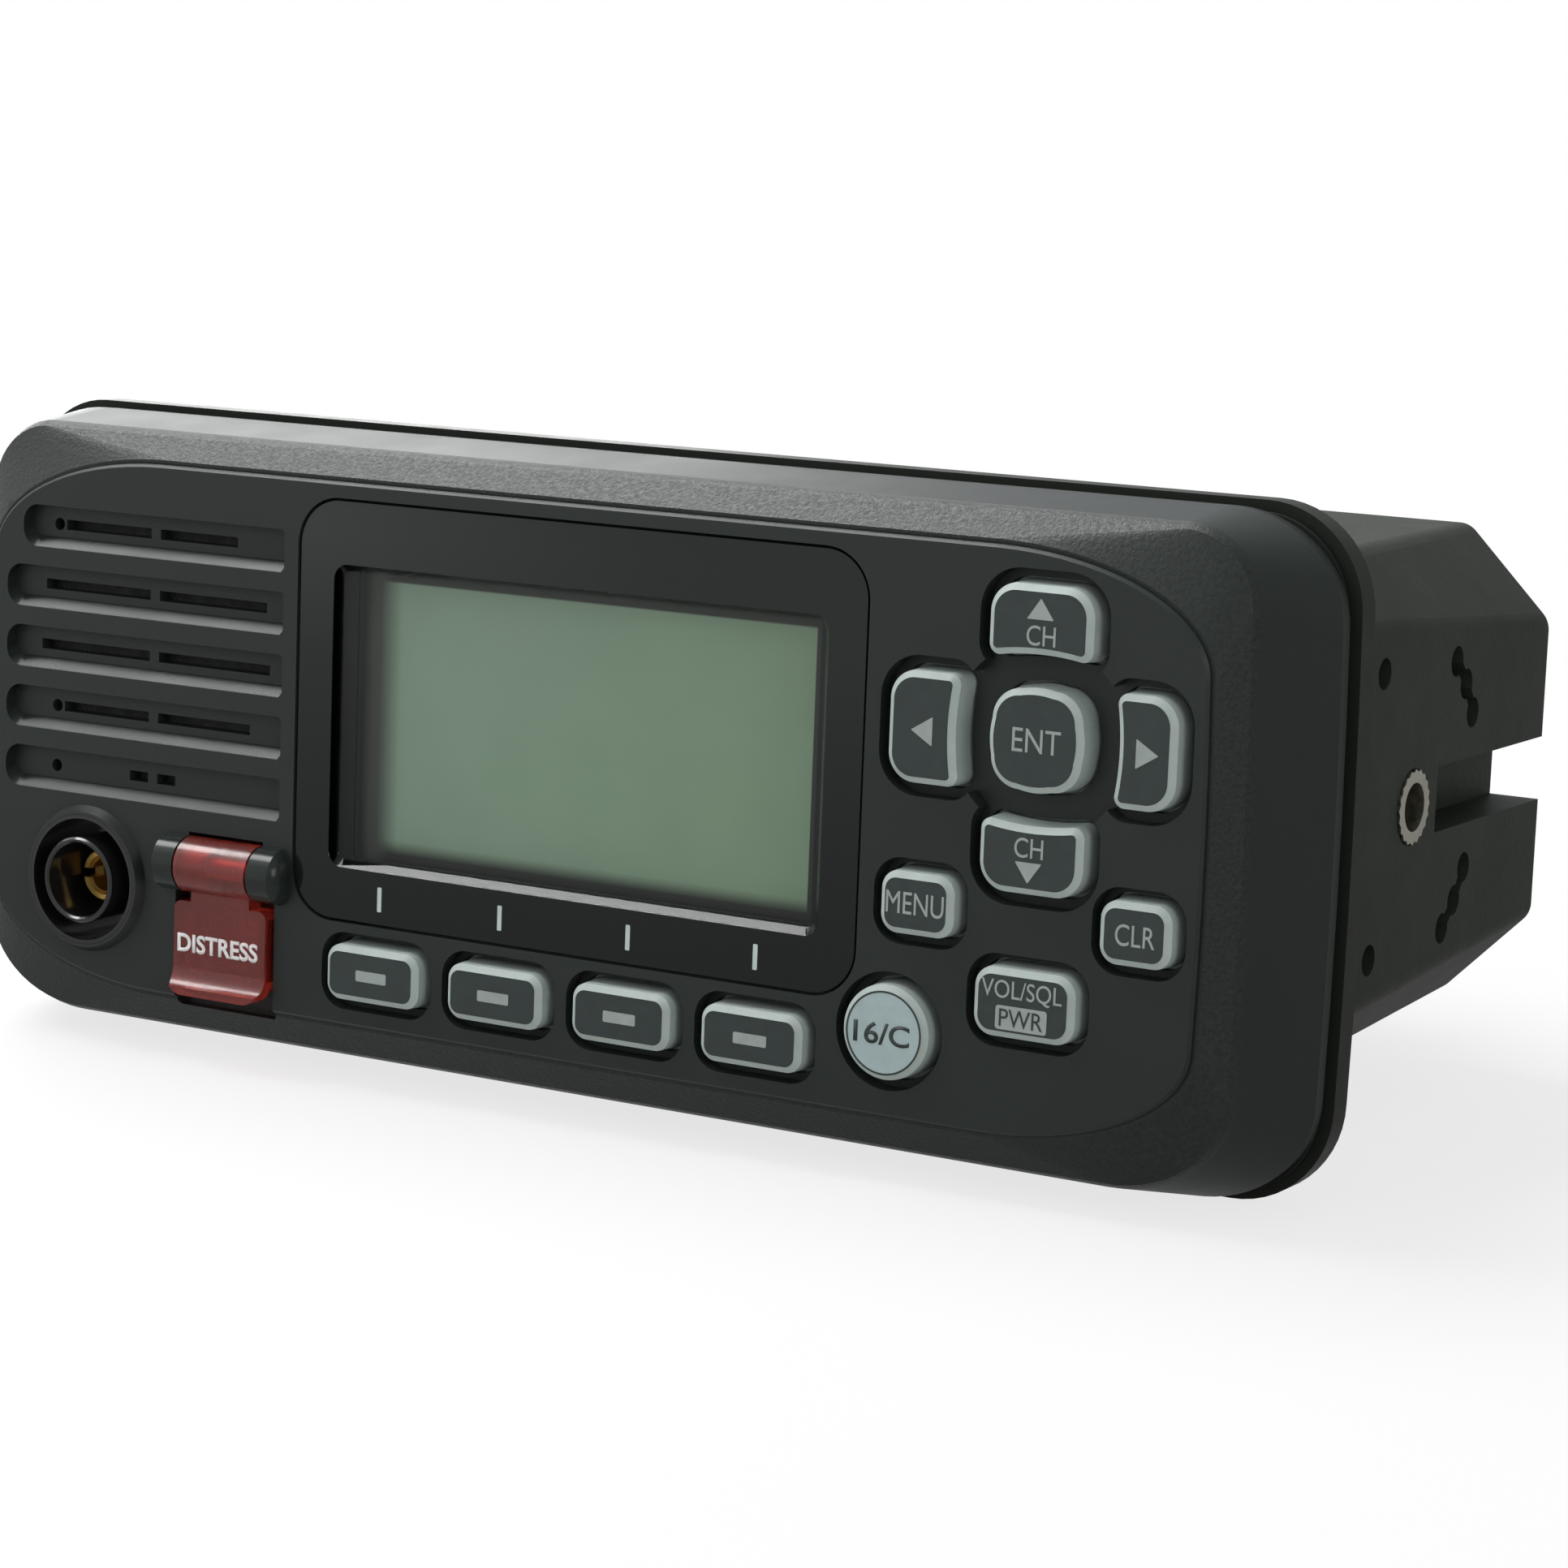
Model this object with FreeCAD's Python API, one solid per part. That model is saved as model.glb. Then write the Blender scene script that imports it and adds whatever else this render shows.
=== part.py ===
import FreeCAD, Part
import math
import os
from FreeCAD import Vector

# Compact fixed-mount VHF marine radio, in millimetres.
# +X is to the right as seen from the front, +Y runs from the front into the depth and +Z is up.
# Pieces are modelled from the panel datum, the middle of the front face, where Y is 0.
# save() moves them so that the origin is the bottom centre of the whole radio.

# ---- overall form ----
overall_width = 156.5
overall_height = 65.8
overall_depth = 110.0
frame_rise = 0.4             # height of the flange's centre over the panel datum
side_crown = 0.3             # how far the sides stand out at their middle
cut_over = 1.0               # how far a cutting tool runs past the face it cuts
same_place = 0.01            # ends of edges nearer than this count as one place
half_turn_share = math.sqrt(0.5)   # how far along both axes the middle of a quarter turn lies
blind_gap = 0.2              # room past the end of a screw or beside a loose one
post_root_depth = 0.2            # how far a post reaches into the wall it stands on

# ---- front panel ----
ridge_side_inset = 4.75      # from the flange's side to the ridge
ridge_top_inset = 1.5
ridge_bottom_inset = 2.1
ridge_corner = 7.6
ridge_low_corner_x = 12.5
ridge_low_corner_z = 10.0
ridge_y = 3.6
ridge_round = 1.1
plateau_side_inset = 3.1     # from the ridge's side to the plateau
plateau_top_inset = 3.2
plateau_bottom_inset = 4.1
plateau_corner_x = 22.0
plateau_corner_z = 10.5
plateau_crown = 0.3
plateau_step = 0.6
plateau_edge = 0.3           # chamfer round the front of the plateau
plateau_groove = 0.45        # flat strip between the plateau and the sloping border
panel_rear_y = 14.1
panel_lip = 1.8
panel_lip_inset = 0.12
panel_wall = 3.2
panel_side_wall = 3.0
rim_inset = 0.5              # how far the panel's rim stands inside the flange
rim_corner_x = 12.0
rim_corner_z = 10.5

# ---- seal and flange ----
seal_thickness = 0.5
seal_inset = 1.0
seal_width = 3.6
flange_thickness = 4.9
flange_corner = 10.0
flange_edge_round = 1.2
flange_front_round = 0.8
flange_round_share = 0.3     # where the middle of a rounded flange edge lies, as a share of its radius

# ---- rear case ----
flange_step_x = 10.25        # how far the flange stands out over the case's sides
flange_step_z = 7.1
case_taper = 0.5             # how much narrower and lower the case is at its rear
case_chamfer_front_x = 4.2
case_chamfer_front_z = 5.2
case_chamfer_rear_x = 9.7
case_chamfer_rear_z = 9.7
case_edge_round = 2.6
case_wall = 3.2
case_rear_wall = 3.0
channel_height = 6.8
channel_depth = 5.5
channel_after_insert = 6.3
cavity_step_after_insert = 2.8
channel_wall = 2.6

# ---- bracket interface on each side of the case ----
insert_from_rear = 35.6      # from the insert to the case's rear face
insert_radius = 3.9
insert_bore_radius = 2.5
insert_length = 9.5
insert_proud = 0.25
insert_teeth = 20
insert_tooth_depth = 0.3
insert_boss_radius = 7.0
insert_boss_end = 2.2
index_circle_radius = 17.0
index_hole_radius = 1.6
index_hole_depth = 2.2
index_slot_width = 1.5
index_front_angle = 122.5
index_angles = (28.5, 41.5, 54.5)

# ---- window and display ----
window_from_left = 40.05      # from the plateau's side to the window
window_from_right = 35.45
window_from_top = 1.9        # from the plateau's upper side to the window
window_from_bottom = 10.8
window_corner = 4.6
window_gap = 0.3
lens_sink = 0.15
lens_thickness = 1.75
adhesive_thickness = 0.05    # clear adhesive between the lens and its border
lens_recess_depth = 0.8
lens_recess_side = 4.05
lens_recess_top = 6.3
lens_recess_bottom = 5.3
lens_recess_corner = 1.6
lens_recess_bevel = 0.7
tape_thickness = 0.3
display_side = 4.65
display_border = 0.7         # how far the display reaches behind the edge of the lens recess
display_thickness = 2.4
display_y = 3.9
display_corner = 0.6
holder_border = 1.2
holder_gap = 0.15
display_opening_side = 5.85
display_opening_border = 0.6 # how far the tape's opening stands inside the lens recess

# ---- keys ----
key_top_y = -1.0
key_travel = 0.8
key_bevel = 0.62
key_bevel_depth = 0.5
key_draft = 0.15
key_gap = 0.3
key_skirt = 0.7
key_skirt_thickness = 0.6
recess_floor_y = 2.0
recess_margin = 1.0
pad_recess_margin = 1.2
pad_from_right = 16.9         # from the plateau's side to the middle of the arrow keys
pad_from_top = 3.1           # from the plateau's upper side to the upper arrow key
pad_from_bottom = 23.0
side_key_extra = 1.2         # how much taller the side arrows are than the middle key
enter_corner = 3.1
enter_bow = 0.2
pad_gap_x = 3.1
pad_gap_z = 2.6
channel_key_width = 10.9
left_key_width = 7.6
right_key_width = 6.4
pad_hollow = 0.35           # how far the inner side of an arrow key is hollowed
pad_outer_corner = 2.9
pad_inner_corner = 1.2
row_key_rise = 20.8          # upwards from the plateau's lower side
menu_key_offset = -11.6       # sideways from the middle of the arrow keys
menu_key_width = 8.0
clear_key_offset = 10.95
clear_key_width = 7.5
row_key_height = 6.2
row_key_corner = 1.9
power_key_rise = 12.8
power_key_width = 10.7
power_key_height = 6.8
power_key_corner = 2.1
call_key_offset = -14.4
call_key_rise = 8.25
call_key_radius = 4.7
call_key_flat = 0.02         # half the straight side that is left on the round key
soft_key_count = 4
soft_key_side = 10.45         # from the window's side to the middle of the outer soft keys
soft_key_rise = 5.6
soft_key_space = 3.3
soft_key_height = 5.9
soft_key_corner = 1.8

# ---- keypad mat, front board and domes ----
mat_press_gap = 0.3
mat_thickness = 1.0
mat_hole_gap = 0.3
mat_plunger_inset = 1.1
dome_gap = 0.9
dome_height = 0.5
dome_shoulder = 0.8          # shape of a dome, as shares of its radius and height
dome_shoulder_rise = 0.6
dome_flat = 0.4
dome_radius = 2.0
board_thickness = 1.6
mat_from_cover = 7.4
mat_from_right = 1.0
mat_bottom_rise = 0.7
mat_strip_rise = 13.9
mat_block_reach = 16.9        # from the middle of the arrow keys to the mat's left side
mat_top_drop = 2.0
mat_corner = 4.0
mat_strip_corner = 1.5
board_window_border = 2.45
board_tail_reach = 8.5
board_tail_rise = 17.3
board_edge_gap = 0.4
post_radius = 2.0
post_drop = 4.0
post_rise = 3.8
post_window_inset = 1.05
post_pad_offset = -3.0
board_screw_radius = 1.1
board_screw_head_radius = 2.0
board_screw_head_height = 1.3
board_screw_length = 4.5
thread_clearance = 0.03

# ---- louvres and speaker ----
louvre_count = 5
louvre_from_top = 5.3
louvre_from_bottom = 17.85   # from the plateau's lower side to the space below the last louvre
louvre_space = 1.95
louvre_from_side = 2.1
louvre_first_from_side = 4.2
louvre_from_window = 2.05
louvre_depth = 1.5
louvre_lip = 1.05
louvre_left_flat = 0.3       # what the round left end leaves of a louvre's side, above and below
louvre_right_corner = 0.5
slot_height = 1.05
slot_rise = 2.4             # from the bottom of a louvre to the middle of its slot
slot_end_margin = 0.3        # from the farthest slot's middle to the end of the field of slots
slot_bridge_width = 1.2
drain_offset = -12.7          # sideways from the speaker's middle
drain_radius = 0.65
drain_bridge = 0.3           # between a drain hole and the slot beside it
drain_reach = 2.0            # a slot that would end this near to a drain hole starts beside it
drain_louvres = (0, 3, 4)
speaker_from_side = 4.5
speaker_board_gap = 1.1
speaker_from_top = 2.0
speaker_above_socket = 1.9
speaker_slot_inset = 1.0     # from the speaker's edge to the ends of the longest slots
speaker_rim = 1.8
speaker_rim_thickness = 1.5
speaker_depth = 6.6
speaker_back_radius = 9.6
speaker_shell = 0.8
magnet_radius = 9.0
magnet_thickness = 4.8
cone_thickness = 0.4
cone_neck_radius = 4.0
cone_ledge = 1.3
cone_roll = 0.9
dust_cap_depth = 1.6
dust_cap_dome = 1.0
net_thickness = 0.3

# ---- microphone socket ----
socket_from_side = 13.3
socket_rise = 11.0
socket_hole_radius = 7.1
socket_collar_radius = 7.7
socket_collar_top_radius = 7.15
socket_collar_height = 1.0
socket_sleeve_radius = 6.8
socket_well_radius = 6.4
socket_tube_radius = 4.5
socket_bore_radius = 3.9
socket_rim_round = 0.2
socket_tube_front_y = -1.7
socket_well_floor_y = 4.0
socket_bore_floor_y = 7.0
socket_rear_y = 12.0
socket_rear_radius = 5.6
socket_flange_radius = 8.0
socket_flange_thickness = 1.2
contact_radius = 2.9
contact_bore_radius = 1.8
contact_front_y = 2.6
contact_edge = 0.4           # chamfers of the contact's front edges
contact_edge_width = 0.3
contact_slot = 1.0

# ---- distress key and its cover ----
cover_from_window = 8.75      # from the middle of the cover to the window's side
hinge_y = 0.0
hinge_rise = 14.2
hinge_radius = 2.9
barrel_half_length = 4.5
hinge_end_gap = 0.25
lug_length = 3.5
lug_dome = 0.9
lug_round_out = 0.85         # where a lug's dome passes, as shares of its length and radius
lug_round_up = 0.72
hinge_groove_gap = 0.4
pin_radius = 0.75
pin_running_clearance = 0.05
pin_overlap = 2.4           # how far the pin reaches into each lug
neck_half_width = 3.7
flap_width = 11.7
flap_top_rise = 10.4
flap_bottom_rise = 1.9
flap_front_y = -0.8
flap_rear_y = 1.6
flap_wall = 1.0
flap_corner = 0.9
lip_rise = 1.9               # from the flap's lower edge up to where the lip's curve starts
lip_front_drop = 0.3
lip_drop = 1.1
lip_bow = 0.4                # how hollow the lip's curve is
lip_corner = 2.0
lip_front_y = -2.1
cover_recess_width = 12.7
cover_recess_corner = 0.6
cover_recess_drop = 0.9
cover_recess_floor_y = 2.2
distress_key_front_y = 0.9
distress_key_rise = 6.1
distress_key_width = 7.6
distress_key_height = 5.4
distress_key_corner = 1.0
spring_radius = 1.5
spring_bore_radius = 1.05
spring_length = 3.2
spring_pocket_radius = 1.9
spring_pocket_length = 3.8

# ---- case fasteners ----
case_screw_side_inset = 6.45
case_screw_height_inset = 12.4
case_screw_radius = 1.5
head_edge = 0.35             # chamfer of a pan head, as a share of its height
drive_length = 1.1           # cross recess of a pan head, as shares of its radius and height
drive_width = 0.28
drive_floor = 0.45
case_screw_head_radius = 2.6
case_screw_head_gap = 0.3
case_screw_head_height = 2.0
case_screw_sink = 2.4
case_screw_length = 9.0
case_post_radius = 2.7
case_post_front_y = 7.4

# ---- main board and what it carries ----
main_board_z = -12.8
main_board_side_gap = 3.65
main_board_front_y = 22.0
main_board_rear_gap = 6.3
main_screw_side_inset = 6.0
main_screw_front_inset = 7.0
main_screw_rear_inset = 8.0
main_post_radius = 3.0
main_screw_radius = 1.3
main_screw_head_radius = 2.6
main_screw_head_height = 1.6
main_screw_length = 6.0
can_x = -18.0
can_front_gap = 11.0
can_width = 52.0
can_length = 34.0
can_height = 7.0
can_wall = 0.5
can_corner = 1.0
module_width = 60.0
module_height = 10.0
module_depth = 6.0
module_lead_count = 5
module_lead_size = 0.8
connector_width = 24.0
connector_depth = 3.0
connector_height = 4.0
flex_width = 20.0
flex_thickness = 0.3
flex_front_z = -4.0
flex_bend = 2.5

# ---- heat sink, antenna socket and glands on the rear ----
pedestal_width = 66.0
pedestal_height = 12.0
pedestal_z = 0.0
pedestal_reach = 3.6        # how far the pedestal stands in front of the rear wall
pedestal_gap = 0.6
pedestal_corner = 1.0
sink_plate_width = 98.0
sink_plate_height = 38.0
sink_plate_thickness = 3.0
sink_plate_corner = 3.0
fin_count = 9
fin_pitch = 5.4
fin_root = 2.2
fin_tip = 1.5
fin_height = 34.0
fin_length = 13.8
sink_screw_side_inset = 3.8
sink_screw_height_inset = 3.6
sink_screw_radius = 1.5
sink_screw_head_radius = 2.8
sink_screw_head_gap = 0.4
sink_screw_head_height = 1.9
sink_screw_length = 7.0
sink_screw_spot_depth = 0.4
antenna_x = 35.0
antenna_z = 1.5
antenna_thread_radius = 7.94
antenna_thread_chamfer = 0.6
antenna_flange_radius = 9.4
antenna_flange_thickness = 2.0
antenna_bore_radius = 6.6
antenna_wall_depth = 1.5
antenna_insulator_front = 5.0
antenna_contact_radius = 2.7
antenna_contact_chamfer = 0.3
antenna_contact_base = 1.0
antenna_contact_bore = 2.0
antenna_contact_proud = 3.4
antenna_rear_gap = 0.4       # how far the socket ends in front of the fins' tips
gland_side_inset = 9.5
power_gland_z = 8.0
signal_gland_z = -8.0
gland_radius = 4.6
gland_collar_radius = 6.0
gland_collar_straight = 1.4
gland_inner_reach = 1.2
gland_collar_length = 6.0
gland_bore_radius = 2.4
gland_inner_collar = 5.6
gland_tip_radius = 4.4

# ---- sizes that follow from the ones above ----
ridge_width = overall_width - 2 * ridge_side_inset
plateau_width = ridge_width - 2 * plateau_side_inset
plateau_side_x = plateau_width / 2
plateau_top_z = frame_rise + overall_height / 2 - ridge_top_inset - plateau_top_inset
plateau_bottom_z = frame_rise - overall_height / 2 + ridge_bottom_inset + plateau_bottom_inset
plateau_height = plateau_top_z - plateau_bottom_z
window_left_x = -plateau_side_x + window_from_left
window_right_x = plateau_side_x - window_from_right
window_x = (window_left_x + window_right_x) / 2
window_width = window_right_x - window_left_x
window_top_z = plateau_top_z - window_from_top
window_bottom_z = plateau_bottom_z + window_from_bottom
window_z = (window_top_z + window_bottom_z) / 2
window_height = window_top_z - window_bottom_z
lens_recess_width = window_width - 2 * lens_recess_side
lens_recess_height = window_height - lens_recess_top - lens_recess_bottom
lens_recess_z = window_z + (lens_recess_bottom - lens_recess_top) / 2
display_height = lens_recess_height + 2 * display_border
display_opening_height = lens_recess_height - 2 * display_opening_border
display_width = window_width - 2 * display_side
display_opening_width = window_width - 2 * display_opening_side
pad_x = plateau_side_x - pad_from_right
pad_height = plateau_height - pad_from_top - pad_from_bottom
pad_z = plateau_top_z - pad_from_top - pad_height / 2
enter_size = pad_height / 3
channel_key_height = (pad_height - enter_size) / 2 - pad_gap_z
side_key_height = enter_size + side_key_extra
menu_key_x = pad_x + menu_key_offset
clear_key_x = pad_x + clear_key_offset
call_key_x = pad_x + call_key_offset
soft_key_pitch = (window_width - 2 * soft_key_side) / (soft_key_count - 1)
soft_key_width = soft_key_pitch - soft_key_space
row_key_z = plateau_bottom_z + row_key_rise
power_key_z = plateau_bottom_z + power_key_rise
call_key_z = plateau_bottom_z + call_key_rise
soft_key_z = plateau_bottom_z + soft_key_rise
cover_x = window_left_x - cover_from_window
hinge_z = plateau_bottom_z + hinge_rise
flap_top_z = plateau_bottom_z + flap_top_rise
flap_bottom_z = plateau_bottom_z + flap_bottom_rise
cover_recess_bottom_z = plateau_bottom_z - cover_recess_drop
distress_key_z = plateau_bottom_z + distress_key_rise
socket_x = -plateau_side_x + socket_from_side
socket_z = plateau_bottom_z + socket_rise
louvre_pitch = (plateau_height - louvre_from_top - louvre_from_bottom) / louvre_count
louvre_height = louvre_pitch - louvre_space
louvre_left_corner = louvre_height / 2 - louvre_left_flat
louvre_top_z = plateau_top_z - louvre_from_top
louvre_left_x = -plateau_side_x + louvre_from_side
louvre_first_left_x = -plateau_side_x + louvre_first_from_side
louvre_right_x = window_left_x - louvre_from_window
mat_left_x = cover_x - mat_from_cover
mat_right_x = plateau_side_x - mat_from_right
mat_block_left_x = pad_x - mat_block_reach
mat_top_z = plateau_top_z - mat_top_drop
mat_bottom_z = plateau_bottom_z + mat_bottom_rise
mat_strip_top_z = plateau_bottom_z + mat_strip_rise
board_left_x = window_left_x - board_window_border
speaker_left_x = speaker_from_side - plateau_side_x
speaker_right_x = board_left_x - speaker_board_gap
speaker_top_z = plateau_top_z - speaker_from_top
speaker_bottom_z = socket_z + socket_flange_radius + speaker_above_socket
speaker_x = (speaker_left_x + speaker_right_x) / 2
speaker_z = (speaker_top_z + speaker_bottom_z) / 2
speaker_radius = min(speaker_right_x - speaker_left_x, speaker_top_z - speaker_bottom_z) / 2
board_tail_left_x = cover_x - board_tail_reach
board_tail_top_z = plateau_bottom_z + board_tail_rise
post_upper_z = plateau_top_z - post_drop
post_lower_z = plateau_bottom_z + post_rise
post_positions = ((window_left_x, post_upper_z), (window_right_x - post_window_inset, post_upper_z),
                  (window_left_x, post_lower_z), (pad_x + post_pad_offset, post_lower_z))

mat_front_y = panel_wall + key_skirt_thickness + key_travel + mat_press_gap
mat_rear_y = mat_front_y + mat_thickness
board_front_y = mat_rear_y + dome_gap + dome_height
board_rear_y = board_front_y + board_thickness
seal_front_y = panel_rear_y
flange_front_y = panel_rear_y + seal_thickness
flange_rear_y = flange_front_y + flange_thickness
case_screw_tip_y = flange_rear_y - case_screw_sink - case_screw_length
front_most_y = hinge_y - hinge_radius
rear_most_y = front_most_y + overall_depth
fin_front_y = rear_most_y - fin_length
case_rear_y = fin_front_y - sink_plate_thickness
rear_wall_front_y = case_rear_y - case_rear_wall
pedestal_front_y = rear_wall_front_y - pedestal_reach
insert_y = case_rear_y - insert_from_rear
channel_start_y = insert_y + channel_after_insert
cavity_step_y = insert_y + cavity_step_after_insert

case_front_width = overall_width - 2 * flange_step_x
case_rear_width = case_front_width - case_taper
case_front_height = overall_height - 2 * flange_step_z
case_rear_height = case_front_height - case_taper
case_screw_x = overall_width / 2 - case_screw_side_inset
case_screw_z = overall_height / 2 - case_screw_height_inset
main_board_rear_y = rear_wall_front_y - main_board_rear_gap
main_board_width = case_rear_width - 2 * (channel_depth + channel_wall + main_board_side_gap)
main_board_top_z = main_board_z + board_thickness
main_screw_x = main_board_width / 2 - main_screw_side_inset
main_screw_y = (main_board_front_y + main_screw_front_inset, main_board_rear_y - main_screw_rear_inset)
can_front_y = main_board_front_y + can_front_gap
sink_screw_x = sink_plate_width / 2 - sink_screw_side_inset
sink_screw_z = sink_plate_height / 2 - sink_screw_height_inset
gland_x = -sink_plate_width / 2 + gland_side_inset
origin_shift = Vector(0, -(front_most_y + rear_most_y) / 2, overall_height / 2 - frame_rise)

nodes = {}


class Outline:
    """A rounded rectangle in a plane across Y, with corner radii and bowed or hollowed sides.

    corners holds (x, z) radii for the upper right, upper left, lower left and lower right corner.
    bows holds how far the right, upper, left and lower side stands out at its middle.
    """

    def __init__(self, x, z, width, height, corners, bows=(0, 0, 0, 0)):
        if not isinstance(corners, (tuple, list)):
            corners = (corners,) * 4
        self.x = x
        self.z = z
        self.width = width
        self.height = height
        self.corners = [c if isinstance(c, tuple) else (c, c) for c in corners]
        self.bows = bows

    def grown(self, by):
        corners = [(max(cx + by, 0.05), max(cz + by, 0.05)) for cx, cz in self.corners]
        return Outline(self.x, self.z, self.width + 2 * by, self.height + 2 * by, corners, self.bows)

    def wire(self, y):
        right = self.x + self.width / 2
        left = self.x - self.width / 2
        top = self.z + self.height / 2
        bottom = self.z - self.height / 2
        (rx, rz), (lx, lz), (mx, mz), (nx, nz) = self.corners
        bow_right, bow_top, bow_left, bow_bottom = self.bows
        edges = [
            side_edge(right, bottom + nz, right, top - rz, bow_right, 0, y),
            corner_edge(right - rx, top - rz, rx, rz, 1, 1, y),
            side_edge(right - rx, top, left + lx, top, 0, bow_top, y),
            corner_edge(left + lx, top - lz, lx, lz, -1, 1, y),
            side_edge(left, top - lz, left, bottom + mz, -bow_left, 0, y),
            corner_edge(left + mx, bottom + mz, mx, mz, -1, -1, y),
            side_edge(left + mx, bottom, right - nx, bottom, 0, -bow_bottom, y),
            corner_edge(right - nx, bottom + nz, nx, nz, 1, -1, y),
        ]
        return Part.Wire(Part.sortEdges(edges)[0])

    def prism(self, front_y, rear_y):
        face = Part.Face(self.wire(front_y))
        return face.extrude(Vector(0, rear_y - front_y, 0))


def side_edge(x0, z0, x1, z1, bow_x, bow_z, y):
    start = Vector(x0, y, z0)
    end = Vector(x1, y, z1)
    if bow_x == 0 and bow_z == 0:
        return Part.LineSegment(start, end).toShape()
    middle = (start + end) * 0.5 + Vector(bow_x, 0, bow_z)
    return Part.Arc(start, middle, end).toShape()


def corner_edge(x, z, radius_x, radius_z, sign_x, sign_z, y):
    centre = Vector(x, y, z)
    on_x = centre + Vector(sign_x * radius_x, 0, 0)
    on_z = centre + Vector(0, 0, sign_z * radius_z)
    if abs(radius_x - radius_z) < 1e-6:
        diagonal = math.sqrt(0.5) * radius_x
        middle = centre + Vector(sign_x * diagonal, 0, sign_z * diagonal)
        return Part.Arc(on_x, middle, on_z).toShape()
    if radius_x > radius_z:
        ellipse = Part.Ellipse(on_x, on_z, centre)
    else:
        ellipse = Part.Ellipse(on_z, on_x, centre)
    return Part.ArcOfEllipse(ellipse, 0, math.pi / 2).toShape()


def loft(*sections):
    """Straight-sided loft through (outline, y) sections."""
    wires = [outline.wire(y) for outline, y in sections]
    return Part.makeLoft(wires, True, True)


def rod(x, z, radius, front_y, rear_y):
    return Part.makeCylinder(radius, rear_y - front_y, Vector(x, front_y, z), Vector(0, 1, 0))


def cross_rod(x0, x1, y, z, radius):
    return Part.makeCylinder(radius, x1 - x0, Vector(x0, y, z), Vector(1, 0, 0))


def block(x0, x1, y0, y1, z0, z1):
    return Part.makeBox(x1 - x0, y1 - y0, z1 - z0, Vector(x0, y0, z0))


def turned(x, z, points):
    """Solid of revolution about a line along Y through (x, z), from (radius, y) points."""
    corners = [Vector(x + radius, y, z) for radius, y in points]
    profile = Part.makePolygon(corners + corners[:1])
    return Part.Face(profile).revolve(Vector(x, 0, z), Vector(0, 1, 0), 360)


def fused(shapes):
    whole = shapes[0]
    if len(shapes) > 1:
        whole = whole.fuse(shapes[1:])
    return whole.removeSplitter()


def save(name, shape):
    """Write one node as STEP, moved from the panel datum to the radio's origin."""
    shape = shape.copy()
    shape.translate(origin_shift)
    nodes[name] = shape
    shape.exportStep(os.path.join("parts", name + ".step"))


# ---- outlines shared by pieces that fit together ----
def plateau_outline():
    corner = (plateau_corner_x, plateau_corner_z)
    crown = (plateau_crown, 0, plateau_crown, 0)
    return inset_outline(ridge_outline(), plateau_side_inset, plateau_top_inset, plateau_bottom_inset,
                         (corner,) * 4, crown)


def ridge_outline():
    low = (ridge_low_corner_x, ridge_low_corner_z)
    corners = (ridge_corner, ridge_corner, low, low)
    return inset_outline(flange_outline(), ridge_side_inset, ridge_top_inset, ridge_bottom_inset, corners)


def rim_outline():
    corner = (rim_corner_x, rim_corner_z)
    return inset_outline(flange_outline(), rim_inset, rim_inset, rim_inset, (corner,) * 4)


def flange_outline():
    width = overall_width - 2 * side_crown
    return Outline(0, frame_rise, width, overall_height, flange_corner, (side_crown, 0, side_crown, 0))


def inset_outline(outline, side, top, bottom, corners, bows=None):
    """A smaller outline inside another one, with its own corners."""
    width = outline.width - 2 * side
    height = outline.height - top - bottom
    return Outline(outline.x, outline.z + (bottom - top) / 2, width, height, corners, bows or outline.bows)


def window_outline():
    return Outline(window_x, window_z, window_width, window_height, window_corner)


def lens_recess_outline():
    return Outline(window_x, lens_recess_z, lens_recess_width, lens_recess_height, lens_recess_corner)


def display_outline():
    return Outline(window_x, lens_recess_z, display_width, display_height, display_corner)


def display_opening():
    return Outline(window_x, lens_recess_z, display_opening_width, display_opening_height, display_corner)


def arrow_outline(x, z, width, height, hollow_side):
    """An arrow key: round outer corners, tight inner ones and a hollowed side towards the middle key."""
    outer = pad_outer_corner
    inner = pad_inner_corner
    corners = {"lower": (outer, outer, inner, inner), "upper": (inner, inner, outer, outer),
               "right": (inner, outer, outer, inner), "left": (outer, inner, inner, outer)}[hollow_side]
    bows = {"lower": (0, 0, 0, -pad_hollow), "upper": (0, -pad_hollow, 0, 0),
            "right": (-pad_hollow, 0, 0, 0), "left": (0, 0, -pad_hollow, 0)}[hollow_side]
    return Outline(x, z, width, height, corners, bows)


def pad_outlines():
    half = enter_size / 2
    channel_offset = half + pad_gap_z + channel_key_height / 2
    left_x = pad_x - half - pad_gap_x - left_key_width / 2
    right_x = pad_x + half + pad_gap_x + right_key_width / 2
    up = arrow_outline(pad_x, pad_z + channel_offset, channel_key_width, channel_key_height, "lower")
    down = arrow_outline(pad_x, pad_z - channel_offset, channel_key_width, channel_key_height, "upper")
    left = arrow_outline(left_x, pad_z, left_key_width, side_key_height, "right")
    right = arrow_outline(right_x, pad_z, right_key_width, side_key_height, "left")
    enter = Outline(pad_x, pad_z, enter_size, enter_size, enter_corner, (enter_bow,) * 4)
    return {"key_up": up, "key_down": down, "key_left": left, "key_right": right, "key_enter": enter}


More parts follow.
